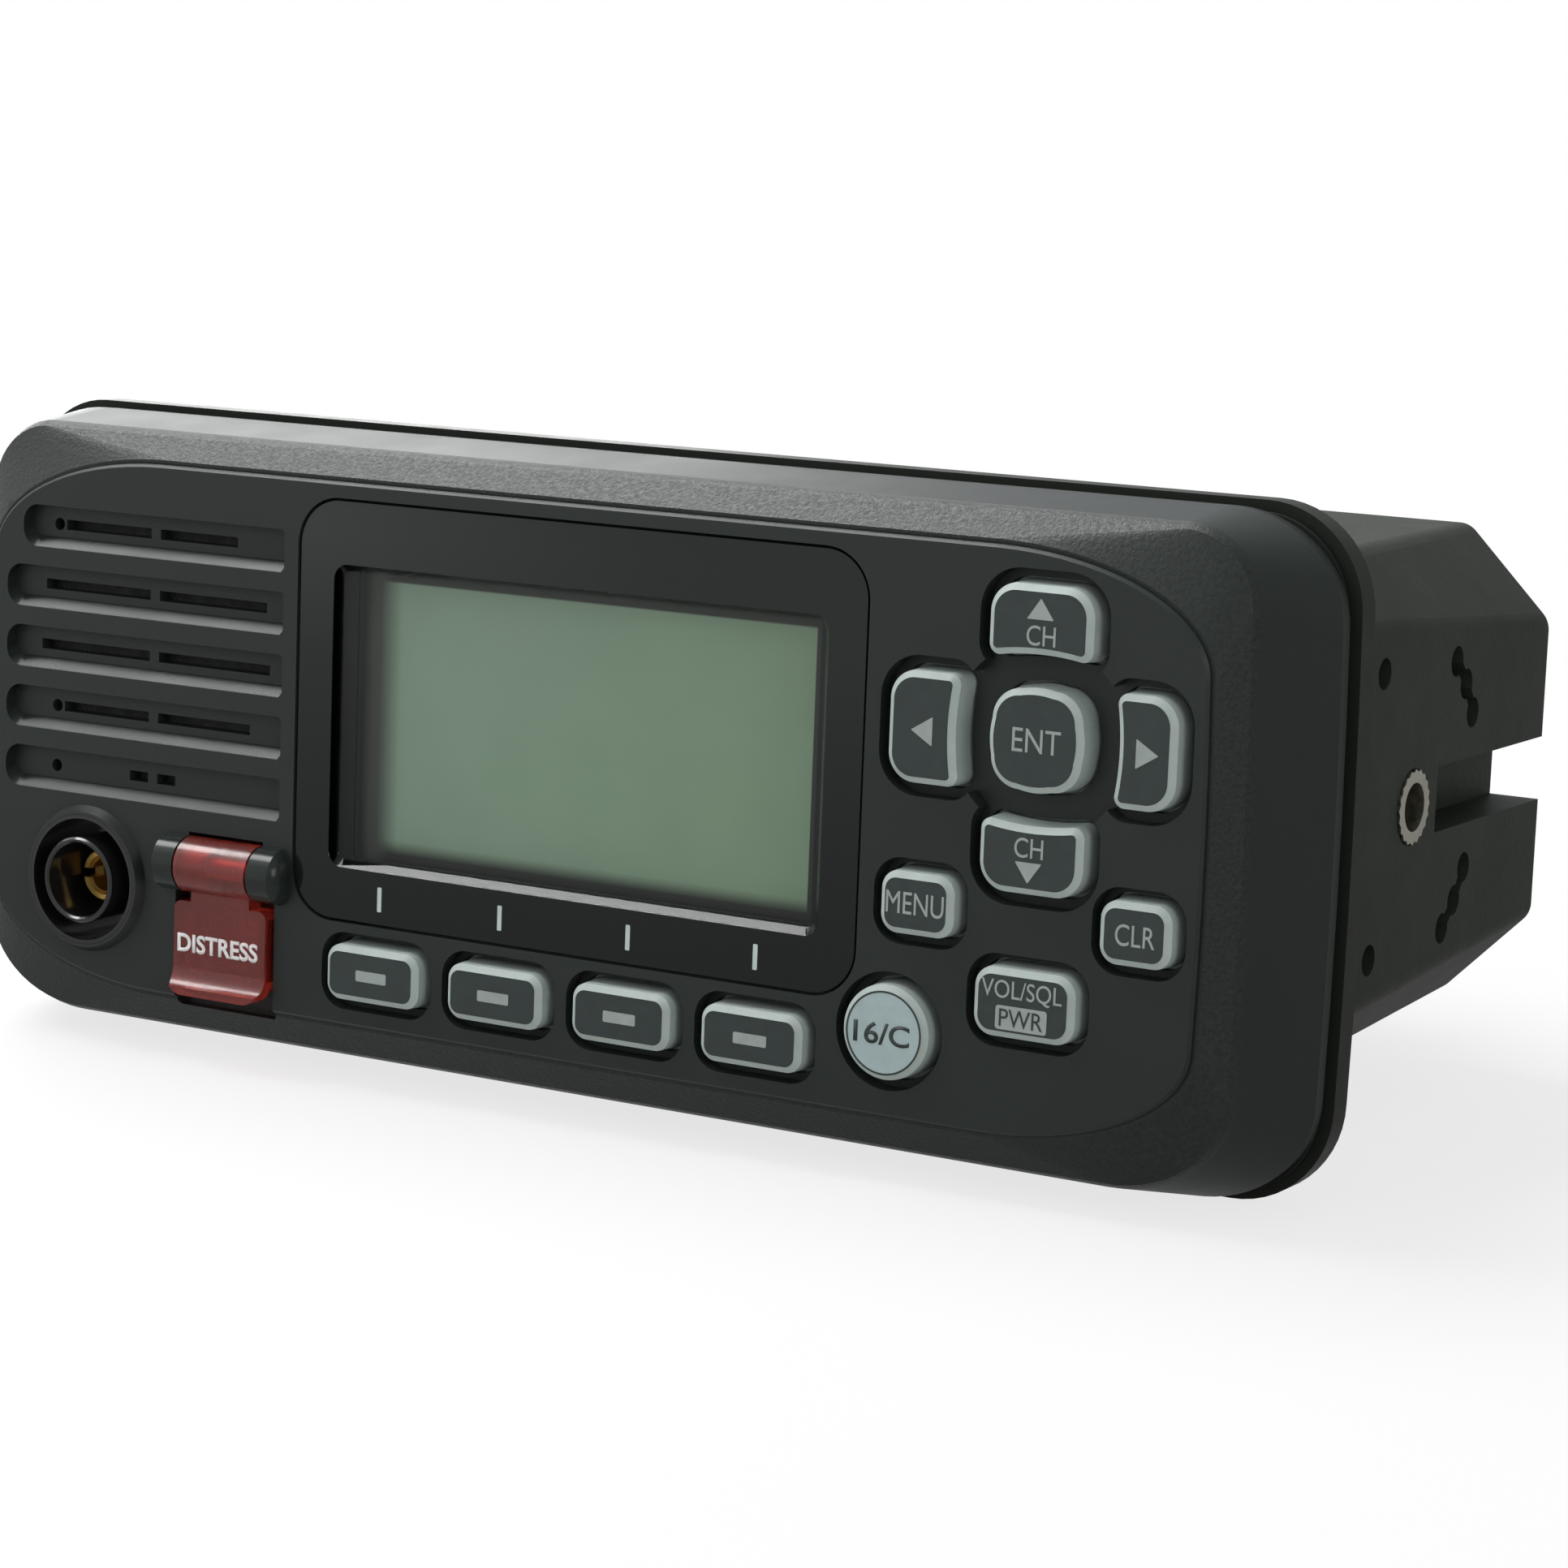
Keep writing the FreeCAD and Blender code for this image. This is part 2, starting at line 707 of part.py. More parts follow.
def single_key_outlines():
    call_size = 2 * call_key_radius
    outlines = {
        "key_menu": Outline(menu_key_x, row_key_z, menu_key_width, row_key_height, row_key_corner),
        "key_clear": Outline(clear_key_x, row_key_z, clear_key_width, row_key_height, row_key_corner),
        "key_power": Outline(pad_x, power_key_z, power_key_width, power_key_height, power_key_corner),
        "key_call": Outline(call_key_x, call_key_z, call_size, call_size, call_key_radius - call_key_flat),
    }
    for index in range(soft_key_count):
        x = window_x + (index - (soft_key_count - 1) / 2) * soft_key_pitch
        name = "key_soft_%d" % (index + 1)
        outlines[name] = Outline(x, soft_key_z, soft_key_width, soft_key_height, soft_key_corner)
    return outlines


def distress_outline():
    return Outline(cover_x, distress_key_z, distress_key_width, distress_key_height, distress_key_corner)


def plunger_outline(outline):
    return outline.grown(-mat_plunger_inset)


# ---- keys ----
def make_key(outline, front_y):
    """Key cap with a bevelled top, a skirt that stops behind the panel and a plunger for its dome."""
    shoulder_y = front_y + key_bevel_depth
    top = outline.grown(-key_bevel - key_draft)
    cap = loft((top, front_y), (outline.grown(-key_draft), shoulder_y), (outline, recess_floor_y))
    stem = outline.prism(recess_floor_y, panel_wall + key_skirt_thickness)
    skirt = outline.grown(key_skirt).prism(panel_wall, panel_wall + key_skirt_thickness)
    plunger = plunger_outline(outline).prism(panel_wall + key_skirt_thickness, mat_rear_y)
    return fused([cap, stem, skirt, plunger])


def key_openings():
    """What the panel loses for its keys: a shallow recess round each and a hole with a working gap."""
    tools = []
    pad = pad_outlines()
    for outline in pad.values():
        tools.append(outline.grown(pad_recess_margin).prism(-cut_over, recess_floor_y))
    for outline in single_key_outlines().values():
        tools.append(outline.grown(recess_margin).prism(-cut_over, recess_floor_y))
    neck_radius = enter_size / 2 + pad_gap_x + pad_recess_margin
    tools.append(rod(pad_x, pad_z, neck_radius, -cut_over, recess_floor_y))
    for outline in list(pad.values()) + list(single_key_outlines().values()) + [distress_outline()]:
        tools.append(outline.grown(key_gap).prism(-cut_over, panel_wall + cut_over))
    return tools


# ---- louvres ----
def louvre_outline(index, shrink_bottom):
    left = louvre_first_left_x if index == 0 else louvre_left_x
    top = louvre_top_z - index * louvre_pitch
    bottom = top - louvre_height + shrink_bottom
    left_corner = louvre_left_corner - shrink_bottom / 2
    corners = (louvre_right_corner, left_corner, left_corner, louvre_right_corner)
    return Outline((left + louvre_right_x) / 2, (top + bottom) / 2, louvre_right_x - left, top - bottom,
                   corners)


def slot_middle(index):
    return louvre_top_z - index * louvre_pitch - louvre_height + slot_rise


def slot_reach(index):
    """How far a louvre's slots go to each side: the slots of all louvres fill an oval over the speaker."""
    oval_reach = speaker_radius - speaker_slot_inset
    oval_rise = max(abs(slot_middle(each) - speaker_z) for each in range(louvre_count)) + slot_end_margin
    return oval_reach * math.sqrt(1 - ((slot_middle(index) - speaker_z) / oval_rise) ** 2)


def slot_tools(index):
    """Two slots with a bridge between them, which start beside the drain hole where there is one."""
    middle = slot_middle(index)
    reach = slot_reach(index)
    left = speaker_x - reach
    beside_drain = speaker_x + drain_offset + drain_radius + drain_bridge
    if index in drain_louvres and abs(left - beside_drain) < drain_reach:
        left = beside_drain
    rear = panel_wall + cut_over
    z0 = middle - slot_height / 2
    z1 = middle + slot_height / 2
    return [block(left, speaker_x - slot_bridge_width / 2, 0, rear, z0, z1),
            block(speaker_x + slot_bridge_width / 2, speaker_x + reach, 0, rear, z0, z1)]


def louvre_tools():
    """Scoops with a sloped lower lip, with the slots and drain holes that open through their floors."""
    tools = []
    for index in range(louvre_count):
        face_outline = louvre_outline(index, 0)
        tools.append(loft((face_outline, 0), (louvre_outline(index, louvre_lip), louvre_depth)))
        tools.append(face_outline.prism(-cut_over, 0))
        tools += slot_tools(index)
    tools += [rod(speaker_x + drain_offset, slot_middle(index), drain_radius, 0, panel_wall + cut_over)
              for index in drain_louvres]
    return tools


# ---- front panel ----
def panel_body():
    plateau = plateau_outline()
    ridge = ridge_outline()
    rim = rim_outline()
    lip = rim.grown(-panel_lip_inset)
    lip_y = panel_rear_y - panel_lip
    face = loft((plateau.grown(-plateau_edge), 0), (plateau, plateau_edge),
                (plateau, plateau_step + plateau_edge))
    border = plateau.grown(plateau_groove)
    front = loft((border, plateau_step), (ridge.grown(-ridge_round / 2), ridge_y - ridge_round / 2),
                 (ridge, ridge_y + ridge_round / 2))
    side = loft((ridge, ridge_y + ridge_round / 2), (rim, lip_y))
    return fused([face, front, side, lip.prism(lip_y, panel_rear_y)])


def panel_cavity():
    front = ridge_outline().grown(-panel_side_wall)
    rear = rim_outline().grown(-panel_side_wall)
    return loft((front, panel_wall), (rear, panel_rear_y), (rear, panel_rear_y + cut_over))


def hinge_lug(side):
    """One of the two domed ends that hold the cover's pin; side is -1 for left and 1 for right."""
    inner = cover_x + side * (barrel_half_length + hinge_end_gap)
    straight = lug_length - lug_dome
    rim = inner + side * straight
    tip = inner + side * lug_length
    profile = [
        Part.LineSegment(Vector(inner, hinge_y, hinge_z), Vector(inner, hinge_y, hinge_z + hinge_radius)),
        Part.LineSegment(Vector(inner, hinge_y, hinge_z + hinge_radius),
                         Vector(rim, hinge_y, hinge_z + hinge_radius)),
        Part.Arc(Vector(rim, hinge_y, hinge_z + hinge_radius),
                 Vector(rim + side * lug_dome * lug_round_out, hinge_y,
                        hinge_z + hinge_radius * lug_round_up),
                 Vector(tip, hinge_y, hinge_z)),
        Part.LineSegment(Vector(tip, hinge_y, hinge_z), Vector(inner, hinge_y, hinge_z)),
    ]
    face = Part.Face(Part.Wire([segment.toShape() for segment in profile]))
    return face.revolve(Vector(cover_x, hinge_y, hinge_z), Vector(1, 0, 0), 360)


def cover_recess():
    recess = Outline(cover_x, (hinge_z + cover_recess_bottom_z) / 2, cover_recess_width,
                     hinge_z - cover_recess_bottom_z, cover_recess_corner)
    groove_half = barrel_half_length + hinge_end_gap
    groove = cross_rod(cover_x - groove_half, cover_x + groove_half, hinge_y, hinge_z,
                       hinge_radius + hinge_groove_gap)
    return [recess.prism(-cut_over, cover_recess_floor_y), groove]


def case_screw_places():
    return [(sx * case_screw_x, frame_rise + sz * case_screw_z) for sx in (-1, 1) for sz in (-1, 1)]


def make_front_panel():
    panel = panel_body().cut(panel_cavity())
    posts = [rod(x, z, post_radius, panel_wall - post_root_depth, board_front_y) for x, z in post_positions]
    posts += [rod(x, z, case_post_radius, case_post_front_y, panel_rear_y - panel_lip)
              for x, z in case_screw_places()]
    panel = panel.fuse(posts)
    tools = key_openings() + louvre_tools() + cover_recess()
    pocket_depth = lens_sink + lens_thickness + adhesive_thickness + tape_thickness
    tools.append(window_outline().grown(window_gap).prism(-cut_over, pocket_depth))
    tools.append(display_opening().prism(-cut_over, panel_wall + cut_over))
    tools.append(rod(socket_x, socket_z, socket_hole_radius, -cut_over, panel_wall + cut_over))
    bore = board_screw_radius + thread_clearance
    tools += [rod(x, z, bore, board_rear_y - board_screw_length - blind_gap, board_front_y + cut_over)
              for x, z in post_positions]
    bore = case_screw_radius + thread_clearance
    tools += [rod(x, z, bore, case_screw_tip_y - blind_gap, panel_rear_y + cut_over)
              for x, z in case_screw_places()]
    panel = panel.cut(tools)
    panel = panel.fuse([hinge_lug(-1), hinge_lug(1)])
    half = barrel_half_length + hinge_end_gap + pin_overlap
    pin_hole = cross_rod(cover_x - half, cover_x + half, hinge_y, hinge_z, pin_radius + thread_clearance)
    return panel.cut(pin_hole)


# ---- window and display ----
def make_window_lens():
    front = lens_sink
    lens = window_outline().prism(front, front + lens_thickness)
    opening = lens_recess_outline()
    recess = loft((opening, front), (opening.grown(-lens_recess_bevel), front + lens_recess_depth))
    return lens.cut([recess, opening.prism(front - cut_over, front)])


def make_window_tape():
    front = lens_sink + lens_thickness + adhesive_thickness
    ring = window_outline().prism(front, front + tape_thickness)
    return ring.cut(display_opening().prism(front - cut_over, front + tape_thickness + cut_over))


def make_lcd_glass():
    return display_outline().prism(display_y, display_y + display_thickness)


def make_lcd_holder():
    """Tray behind and round the display glass, standing on the front board."""
    outer = display_outline().grown(holder_border)
    frame = outer.prism(display_y, board_front_y)
    pocket = display_outline().grown(holder_gap).prism(display_y - cut_over, display_y + display_thickness)
    return frame.cut(pocket)


# ---- keypad mat, front board, domes ----
def make_keypad_mat():
    strip = Outline((mat_left_x + mat_right_x) / 2, (mat_bottom_z + mat_strip_top_z) / 2,
                    mat_right_x - mat_left_x, mat_strip_top_z - mat_bottom_z, mat_strip_corner)
    side = Outline((mat_block_left_x + mat_right_x) / 2, (mat_bottom_z + mat_top_z) / 2,
                   mat_right_x - mat_block_left_x, mat_top_z - mat_bottom_z, mat_corner)
    mat = fused([strip.prism(mat_front_y, mat_rear_y), side.prism(mat_front_y, mat_rear_y)])
    outlines = list(pad_outlines().values()) + list(single_key_outlines().values()) + [distress_outline()]
    holes = [plunger_outline(outline).grown(mat_hole_gap)
             .prism(mat_front_y - cut_over, mat_rear_y + cut_over) for outline in outlines]
    holes += [rod(x, z, post_radius + mat_hole_gap, mat_front_y - cut_over, mat_rear_y + cut_over)
              for x, z in post_positions]
    return mat.cut(holes)


def make_front_board():
    """Board behind the window and the keys, with a tail under the distress key."""
    inside = ridge_outline().grown(-panel_side_wall - board_edge_gap)
    left = inside.x - inside.width / 2
    bottom = inside.z - inside.height / 2
    sheet = inside.prism(board_front_y, board_rear_y)
    above_tail = block(left - cut_over, board_left_x, board_front_y - cut_over, board_rear_y + cut_over,
                       board_tail_top_z, bottom + inside.height + cut_over)
    beside_tail = block(left - cut_over, board_tail_left_x, board_front_y - cut_over,
                        board_rear_y + cut_over, bottom - cut_over, board_tail_top_z)
    holes = [rod(x, z, board_screw_radius + blind_gap, board_front_y - cut_over, board_rear_y + cut_over)
             for x, z in post_positions]
    connector = block(-connector_width / 2, connector_width / 2,
                      board_rear_y, board_rear_y + connector_depth,
                      flex_front_z - connector_height / 2, flex_front_z + connector_height / 2)
    return fused([sheet.cut([above_tail, beside_tail] + holes), connector])


def make_key_domes():
    domes = []
    outlines = list(pad_outlines().values()) + list(single_key_outlines().values()) + [distress_outline()]
    for outline in outlines:
        domes.append(turned(outline.x, outline.z, [
            (0, board_front_y), (dome_radius, board_front_y),
            (dome_radius * dome_shoulder, board_front_y - dome_height * dome_shoulder_rise),
            (dome_radius * dome_flat, board_front_y - dome_height), (0, board_front_y - dome_height)]))
    return Part.makeCompound(domes)


def pan_screw(x, z, radius, head_radius, head_height, seat_y, length):
    """Pan-head screw driven towards the front: its head stands behind seat_y."""
    edge = head_height * head_edge
    head = turned(x, z, [(0, seat_y), (head_radius, seat_y), (head_radius, seat_y + head_height - edge),
                         (head_radius - edge, seat_y + head_height), (0, seat_y + head_height)])
    cross = head_radius * drive_length
    slot_y = seat_y + head_height * drive_floor
    width = head_radius * drive_width
    head = head.cut([block(x - cross / 2, x + cross / 2, slot_y, seat_y + head_height + cut_over,
                           z - width / 2, z + width / 2),
                     block(x - width / 2, x + width / 2, slot_y, seat_y + head_height + cut_over,
                           z - cross / 2, z + cross / 2)])
    return fused([head, rod(x, z, radius, seat_y - length, seat_y)])


def make_front_board_screws():
    screws = [pan_screw(x, z, board_screw_radius, board_screw_head_radius, board_screw_head_height,
                        board_rear_y, board_screw_length) for x, z in post_positions]
    return Part.makeCompound(screws)


# ---- speaker ----
def make_speaker_net():
    return rod(speaker_x, speaker_z, speaker_radius, panel_wall, panel_wall + net_thickness)


def make_speaker_frame():
    """Steel basket: a rim, a ledge that carries the cone and a dish that narrows to the magnet."""
    front = panel_wall + net_thickness
    back = front + speaker_depth
    rim_rear = front + speaker_rim_thickness
    inner = speaker_radius - speaker_rim
    neck = cone_neck_radius + speaker_shell
    return turned(speaker_x, speaker_z, [
        (speaker_radius, front), (speaker_radius, rim_rear), (inner, rim_rear), (speaker_back_radius, back),
        (neck, back), (neck, back - speaker_shell),
        (speaker_back_radius - speaker_shell, back - speaker_shell),
        (inner - cone_ledge, front + speaker_shell), (inner, front + speaker_shell), (inner, front)])


def make_speaker_cone():
    """Paper cone with a dust cap, laid on the basket's ledge and reaching back to the magnet."""
    ledge = panel_wall + net_thickness + speaker_shell
    back = panel_wall + net_thickness + speaker_depth
    outer = speaker_radius - speaker_rim - thread_clearance
    edge = outer - cone_ledge - cone_roll
    voice = cone_neck_radius - cone_thickness
    cap = back - speaker_shell - dust_cap_depth
    return turned(speaker_x, speaker_z, [
        (outer, ledge - cone_thickness), (outer, ledge), (edge, ledge),
        (cone_neck_radius, back - speaker_shell), (cone_neck_radius, back), (voice, back),
        (voice, cap), (0, cap - dust_cap_dome), (0, cap - dust_cap_dome - cone_thickness),
        (voice, cap - cone_thickness), (cone_neck_radius, cap - cone_thickness),
        (edge, ledge - cone_thickness)])


def make_speaker_magnet():
    back = panel_wall + net_thickness + speaker_depth
    return turned(speaker_x, speaker_z, [
        (0, back + cone_thickness), (cone_neck_radius - 2 * cone_thickness, back + cone_thickness),
        (cone_neck_radius - 2 * cone_thickness, back + 2 * cone_thickness),
        (cone_neck_radius + cone_thickness, back + 2 * cone_thickness),
        (cone_neck_radius + cone_thickness, back),
        (magnet_radius, back), (magnet_radius, back + magnet_thickness), (0, back + magnet_thickness)])


# ---- microphone socket ----
def make_mic_socket_body():
    flange_rear = panel_wall + socket_flange_thickness
    return turned(socket_x, socket_z, [
        (socket_bore_radius, socket_tube_front_y + socket_rim_round),
        (socket_bore_radius + socket_rim_round, socket_tube_front_y),
        (socket_tube_radius - socket_rim_round, socket_tube_front_y),
        (socket_tube_radius, socket_tube_front_y + socket_rim_round),
        (socket_tube_radius, socket_well_floor_y), (socket_well_radius, socket_well_floor_y),
        (socket_well_radius, -socket_collar_height), (socket_sleeve_radius, -socket_collar_height),
        (socket_sleeve_radius, panel_wall), (socket_flange_radius, panel_wall),
        (socket_flange_radius, flange_rear), (socket_rear_radius, flange_rear),
        (socket_rear_radius, socket_rear_y), (0, socket_rear_y), (0, socket_bore_floor_y),
        (socket_bore_radius, socket_bore_floor_y)])


def make_mic_socket_collar():
    inner = socket_sleeve_radius + thread_clearance
    return turned(socket_x, socket_z, [
        (inner, 0), (inner, -socket_collar_height), (socket_collar_top_radius, -socket_collar_height),
        (socket_collar_radius, 0)])


def make_mic_socket_contact():
    ring = turned(socket_x, socket_z, [
        (contact_bore_radius, contact_front_y + contact_edge),
        (contact_bore_radius + contact_edge_width, contact_front_y),
        (contact_radius - contact_edge_width, contact_front_y),
        (contact_radius, contact_front_y + contact_edge),
        (contact_radius, socket_bore_floor_y), (contact_bore_radius, socket_bore_floor_y)])
    slot = block(socket_x - contact_radius - cut_over, socket_x, contact_front_y - cut_over,
                 (contact_front_y + socket_bore_floor_y) / 2,
                 socket_z - contact_slot / 2, socket_z + contact_slot / 2)
    return ring.cut(slot)


# ---- distress cover ----
def cover_lip():
    """Hollow-faced lip with rounded corners, by which a finger lifts the cover."""
    left = cover_x - flap_width / 2
    rear = flap_front_y + flap_wall
    top = flap_bottom_z + lip_rise
    low = flap_bottom_z - lip_drop
    start = Vector(left, flap_front_y, top)
    end = Vector(left, lip_front_y, flap_bottom_z - lip_front_drop)
    chord = end - start
    inwards = Vector(0, -chord.z, chord.y).normalize()
    hollow = Part.Arc(start, (start + end) * 0.5 + inwards * lip_bow, end).toShape()
    rest = Part.makePolygon([end, Vector(left, lip_front_y, low), Vector(left, rear, low),
                             Vector(left, rear, top), start])
    lip = Part.Face(Part.Wire([hollow] + rest.Edges)).extrude(Vector(flap_width, 0, 0))
    rounded = Outline(cover_x, (flap_top_z + low) / 2, flap_width, flap_top_z - low,
                      (flap_corner, flap_corner, lip_corner, lip_corner))
    return lip.common(rounded.prism(lip_front_y - cut_over, rear + cut_over))


def make_distress_cover():
    """Hinged cover: a barrel on its pin, a narrow neck and a shallow tray that hides the key."""
    left = cover_x - barrel_half_length
    barrel = cross_rod(left, cover_x + barrel_half_length, hinge_y, hinge_z, hinge_radius)
    neck = block(cover_x - neck_half_width, cover_x + neck_half_width,
                 flap_front_y, flap_front_y + 2 * flap_wall, flap_top_z - flap_wall, hinge_z)
    flap_height = flap_top_z - flap_bottom_z
    flap = Outline(cover_x, flap_bottom_z + flap_height / 2, flap_width, flap_height, flap_corner)
    tray = flap.prism(flap_front_y, flap_rear_y)
    hollow = flap.grown(-flap_wall).prism(flap_front_y + flap_wall, flap_rear_y + cut_over)
    cover = fused([barrel, neck, tray.cut(hollow), cover_lip()])
    bore = cross_rod(cover_x - flap_width, cover_x + flap_width, hinge_y, hinge_z,
                     pin_radius + pin_running_clearance)
    pocket = cross_rod(left - cut_over, left + spring_pocket_length, hinge_y, hinge_z, spring_pocket_radius)
    return cover.cut([bore, pocket])


def make_distress_pin():
    half = barrel_half_length + hinge_end_gap + pin_overlap
    return cross_rod(cover_x - half, cover_x + half, hinge_y, hinge_z, pin_radius)


def make_distress_spring():
    """Torsion spring wound round the pin, drawn as its closed coil."""
    left = cover_x - barrel_half_length - hinge_end_gap
    coil = cross_rod(left, left + spring_length, hinge_y, hinge_z, spring_radius)
    return coil.cut(cross_rod(left - cut_over, left + spring_length + cut_over, hinge_y, hinge_z,
                              spring_bore_radius))


# ---- seal and rear case ----
def make_main_seal():
    outer = flange_outline().grown(-seal_inset)
    ring = outer.prism(seal_front_y, flange_front_y)
    return ring.cut(outer.grown(-seal_width).prism(seal_front_y - cut_over, flange_front_y + cut_over))


def octagon(width, height, chamfer_x, chamfer_z, y):
    """Section of the case: a rectangle with its four corners cut off."""
    w = width / 2
    h = height / 2
    points = [(w, h - chamfer_z), (w - chamfer_x, h), (chamfer_x - w, h), (-w, h - chamfer_z),
              (-w, chamfer_z - h), (chamfer_x - w, -h), (w - chamfer_x, -h), (w, chamfer_z - h)]
    corners = [Vector(x, y, z) for x, z in points]
    return Part.makePolygon(corners + corners[:1])


def case_section(y, inset):
    """Outer section of the case at depth y, made smaller all round by inset."""
    share = (y - flange_rear_y) / (case_rear_y - flange_rear_y)

    def between(front, rear):
        return front + share * (rear - front)
    return octagon(between(case_front_width, case_rear_width) - 2 * inset,
                   between(case_front_height, case_rear_height) - 2 * inset,
                   between(case_chamfer_front_x, case_chamfer_rear_x),
                   between(case_chamfer_front_z, case_chamfer_rear_z), y)


def case_half_width(y):
    share = (y - flange_rear_y) / (case_rear_y - flange_rear_y)
    return (case_front_width + share * (case_rear_width - case_front_width)) / 2


def long_edges(shape, y0, y1):
    """Edges that run the length of the case from y0 to y1."""
    found = []
    for edge in shape.Edges:
        ends = sorted(vertex.Point.y for vertex in edge.Vertexes)
        if len(ends) == 2 and abs(ends[0] - y0) < same_place and abs(ends[1] - y1) < same_place:
            found.append(edge)
    return found


def rear_flange():
    outline = flange_outline()
    front = loft((outline.grown(-flange_front_round), flange_front_y),
                 (outline.grown(-flange_round_share * flange_front_round),
                  flange_front_y + flange_round_share * flange_front_round),
                 (outline, flange_front_y + flange_front_round))
    straight = outline.prism(flange_front_y + flange_front_round, flange_rear_y - flange_edge_round)
    rounded = loft((outline, flange_rear_y - flange_edge_round),
                   (outline.grown(-flange_round_share * flange_edge_round),
                    flange_rear_y - flange_round_share * flange_edge_round),
                   (outline.grown(-flange_edge_round), flange_rear_y))
    return fused([straight, rounded])


def channel_tool(side):
    half = channel_height / 2
    outer = side * (case_half_width(flange_rear_y) + cut_over)
    floor = side * (case_half_width(case_rear_y) - channel_depth)
    return block(min(outer, floor), max(outer, floor), channel_start_y, case_rear_y + cut_over, -half, half)


def index_place(angle):
    """Centre of an index hole, as (y, z), at an angle about the bracket insert."""
    radians = math.radians(angle)
    return insert_y + index_circle_radius * math.cos(radians), index_circle_radius * math.sin(radians)


def index_tools(side):
    """Index holes for the mounting bracket: single ones in front, linked rows of three behind."""
    floor = case_half_width(insert_y) - index_hole_depth
    outer = case_half_width(flange_rear_y) + cut_over
    x0, x1 = sorted((side * floor, side * outer))
    tools = []
    for up in (-1, 1):
        for angle in (index_front_angle,) + index_angles:
            y, z = index_place(up * angle)
            tools.append(cross_rod(x0, x1, y, z, index_hole_radius))
        ring = cross_rod(x0, x1, insert_y, 0, index_circle_radius + index_slot_width / 2).cut(
            cross_rod(x0, x1, insert_y, 0, index_circle_radius - index_slot_width / 2))
        reach = 2 * (index_circle_radius + index_slot_width)
        corners = [Vector(x0, insert_y, 0)]
        for angle in (index_angles[0], index_angles[-1]):
            radians = math.radians(up * angle)
            corners.append(Vector(x0, insert_y + reach * math.cos(radians), reach * math.sin(radians)))
        wedge = Part.Face(Part.makePolygon(corners + corners[:1])).extrude(Vector(x1 - x0, 0, 0))
        tools.append(ring.common(wedge))
    return tools


def insert_face_x():
    return case_half_width(insert_y) + insert_proud


def insert_boss(side):
    inner = case_half_width(insert_y) - insert_length - insert_boss_end
    x0, x1 = sorted((side * inner, side * (case_half_width(insert_y) - case_wall / 2)))
    return cross_rod(x0, x1, insert_y, 0, insert_boss_radius)


def insert_hole(side):
    inner = insert_face_x() - insert_length
    x0, x1 = sorted((side * inner, side * (case_half_width(flange_rear_y) + cut_over)))
    return cross_rod(x0, x1, insert_y, 0, insert_radius + thread_clearance)


def case_cavity():
    """Inside of the case: wide in front, narrower behind to clear the side channels."""
    wide = Part.makeLoft([case_section(flange_rear_y, case_wall), case_section(cavity_step_y, case_wall)],
                         True, True)
    mouth_face = Part.Face(case_section(flange_rear_y, case_wall))
    mouth = mouth_face.extrude(Vector(0, flange_front_y - cut_over - flange_rear_y, 0))
    narrow = case_half_width(case_rear_y) - channel_depth - channel_wall
    rear = Part.makeLoft([case_section(cavity_step_y, case_wall),
                          case_section(rear_wall_front_y, case_wall)], True, True)
    keep = block(-narrow, narrow, cavity_step_y, rear_wall_front_y, -case_front_height, case_front_height)
    return [wide, mouth, rear.common(keep)]


def pedestal_outline():
    return Outline(0, pedestal_z, pedestal_width, pedestal_height, pedestal_corner)


def main_post_places():
    return [(sx * main_screw_x, y) for sx in (-1, 1) for y in main_screw_y]


def make_rear_case():
    body = Part.makeLoft([case_section(flange_rear_y, 0), case_section(case_rear_y, 0)], True, True)
    body = body.makeFillet(case_edge_round, long_edges(body, flange_rear_y, case_rear_y))
    case = body.fuse(rear_flange()).cut(case_cavity())
    floor_z = -case_rear_height / 2 + case_wall / 2
    posts = [Part.makeCylinder(main_post_radius, main_board_z - floor_z, Vector(x, y, floor_z))
             for x, y in main_post_places()]
    case = case.fuse(posts + [insert_boss(-1), insert_boss(1)])
    tools = [channel_tool(-1), channel_tool(1), insert_hole(-1), insert_hole(1)]
    tools += index_tools(-1) + index_tools(1)
    tools += [Part.makeCylinder(main_screw_radius + thread_clearance, main_screw_length + cut_over,
                                Vector(x, y, main_board_z - main_screw_length))
              for x, y in main_post_places()]
    for x, z in case_screw_places():
        tools.append(rod(x, z, case_screw_radius + blind_gap,
                         flange_front_y - cut_over, flange_rear_y + cut_over))
        tools.append(rod(x, z, case_screw_head_radius + case_screw_head_gap,
                         flange_rear_y - case_screw_sink, flange_rear_y + cut_over))
    window = pedestal_outline().grown(pedestal_gap)
    tools.append(window.prism(rear_wall_front_y - cut_over, case_rear_y + cut_over))
    tools += [rod(x, z, sink_screw_radius + thread_clearance, rear_wall_front_y - cut_over,
                  case_rear_y + cut_over) for x, z in sink_screw_places()]
    tools += [rod(gland_x, z, gland_radius, rear_wall_front_y - cut_over, case_rear_y + cut_over)
              for z in (power_gland_z, signal_gland_z)]
    return case.cut(tools)


def make_insert(side):
    """Knurled threaded insert for the mounting bracket's knob."""
    points = []
    for tooth in range(2 * insert_teeth):
        angle = math.pi * tooth / insert_teeth
        radius = insert_radius - insert_tooth_depth * (tooth % 2)
        points.append(Vector(0, radius * math.cos(angle), radius * math.sin(angle)))
    knurl = Part.Face(Part.makePolygon(points + points[:1])).extrude(Vector(insert_length, 0, 0))
    insert = knurl.cut(cross_rod(-cut_over, insert_length + cut_over, 0, 0, insert_bore_radius))
    if side > 0:
        insert.translate(Vector(insert_face_x() - insert_length, insert_y, 0))
    else:
        insert.translate(Vector(-insert_face_x(), insert_y, 0))
    return insert


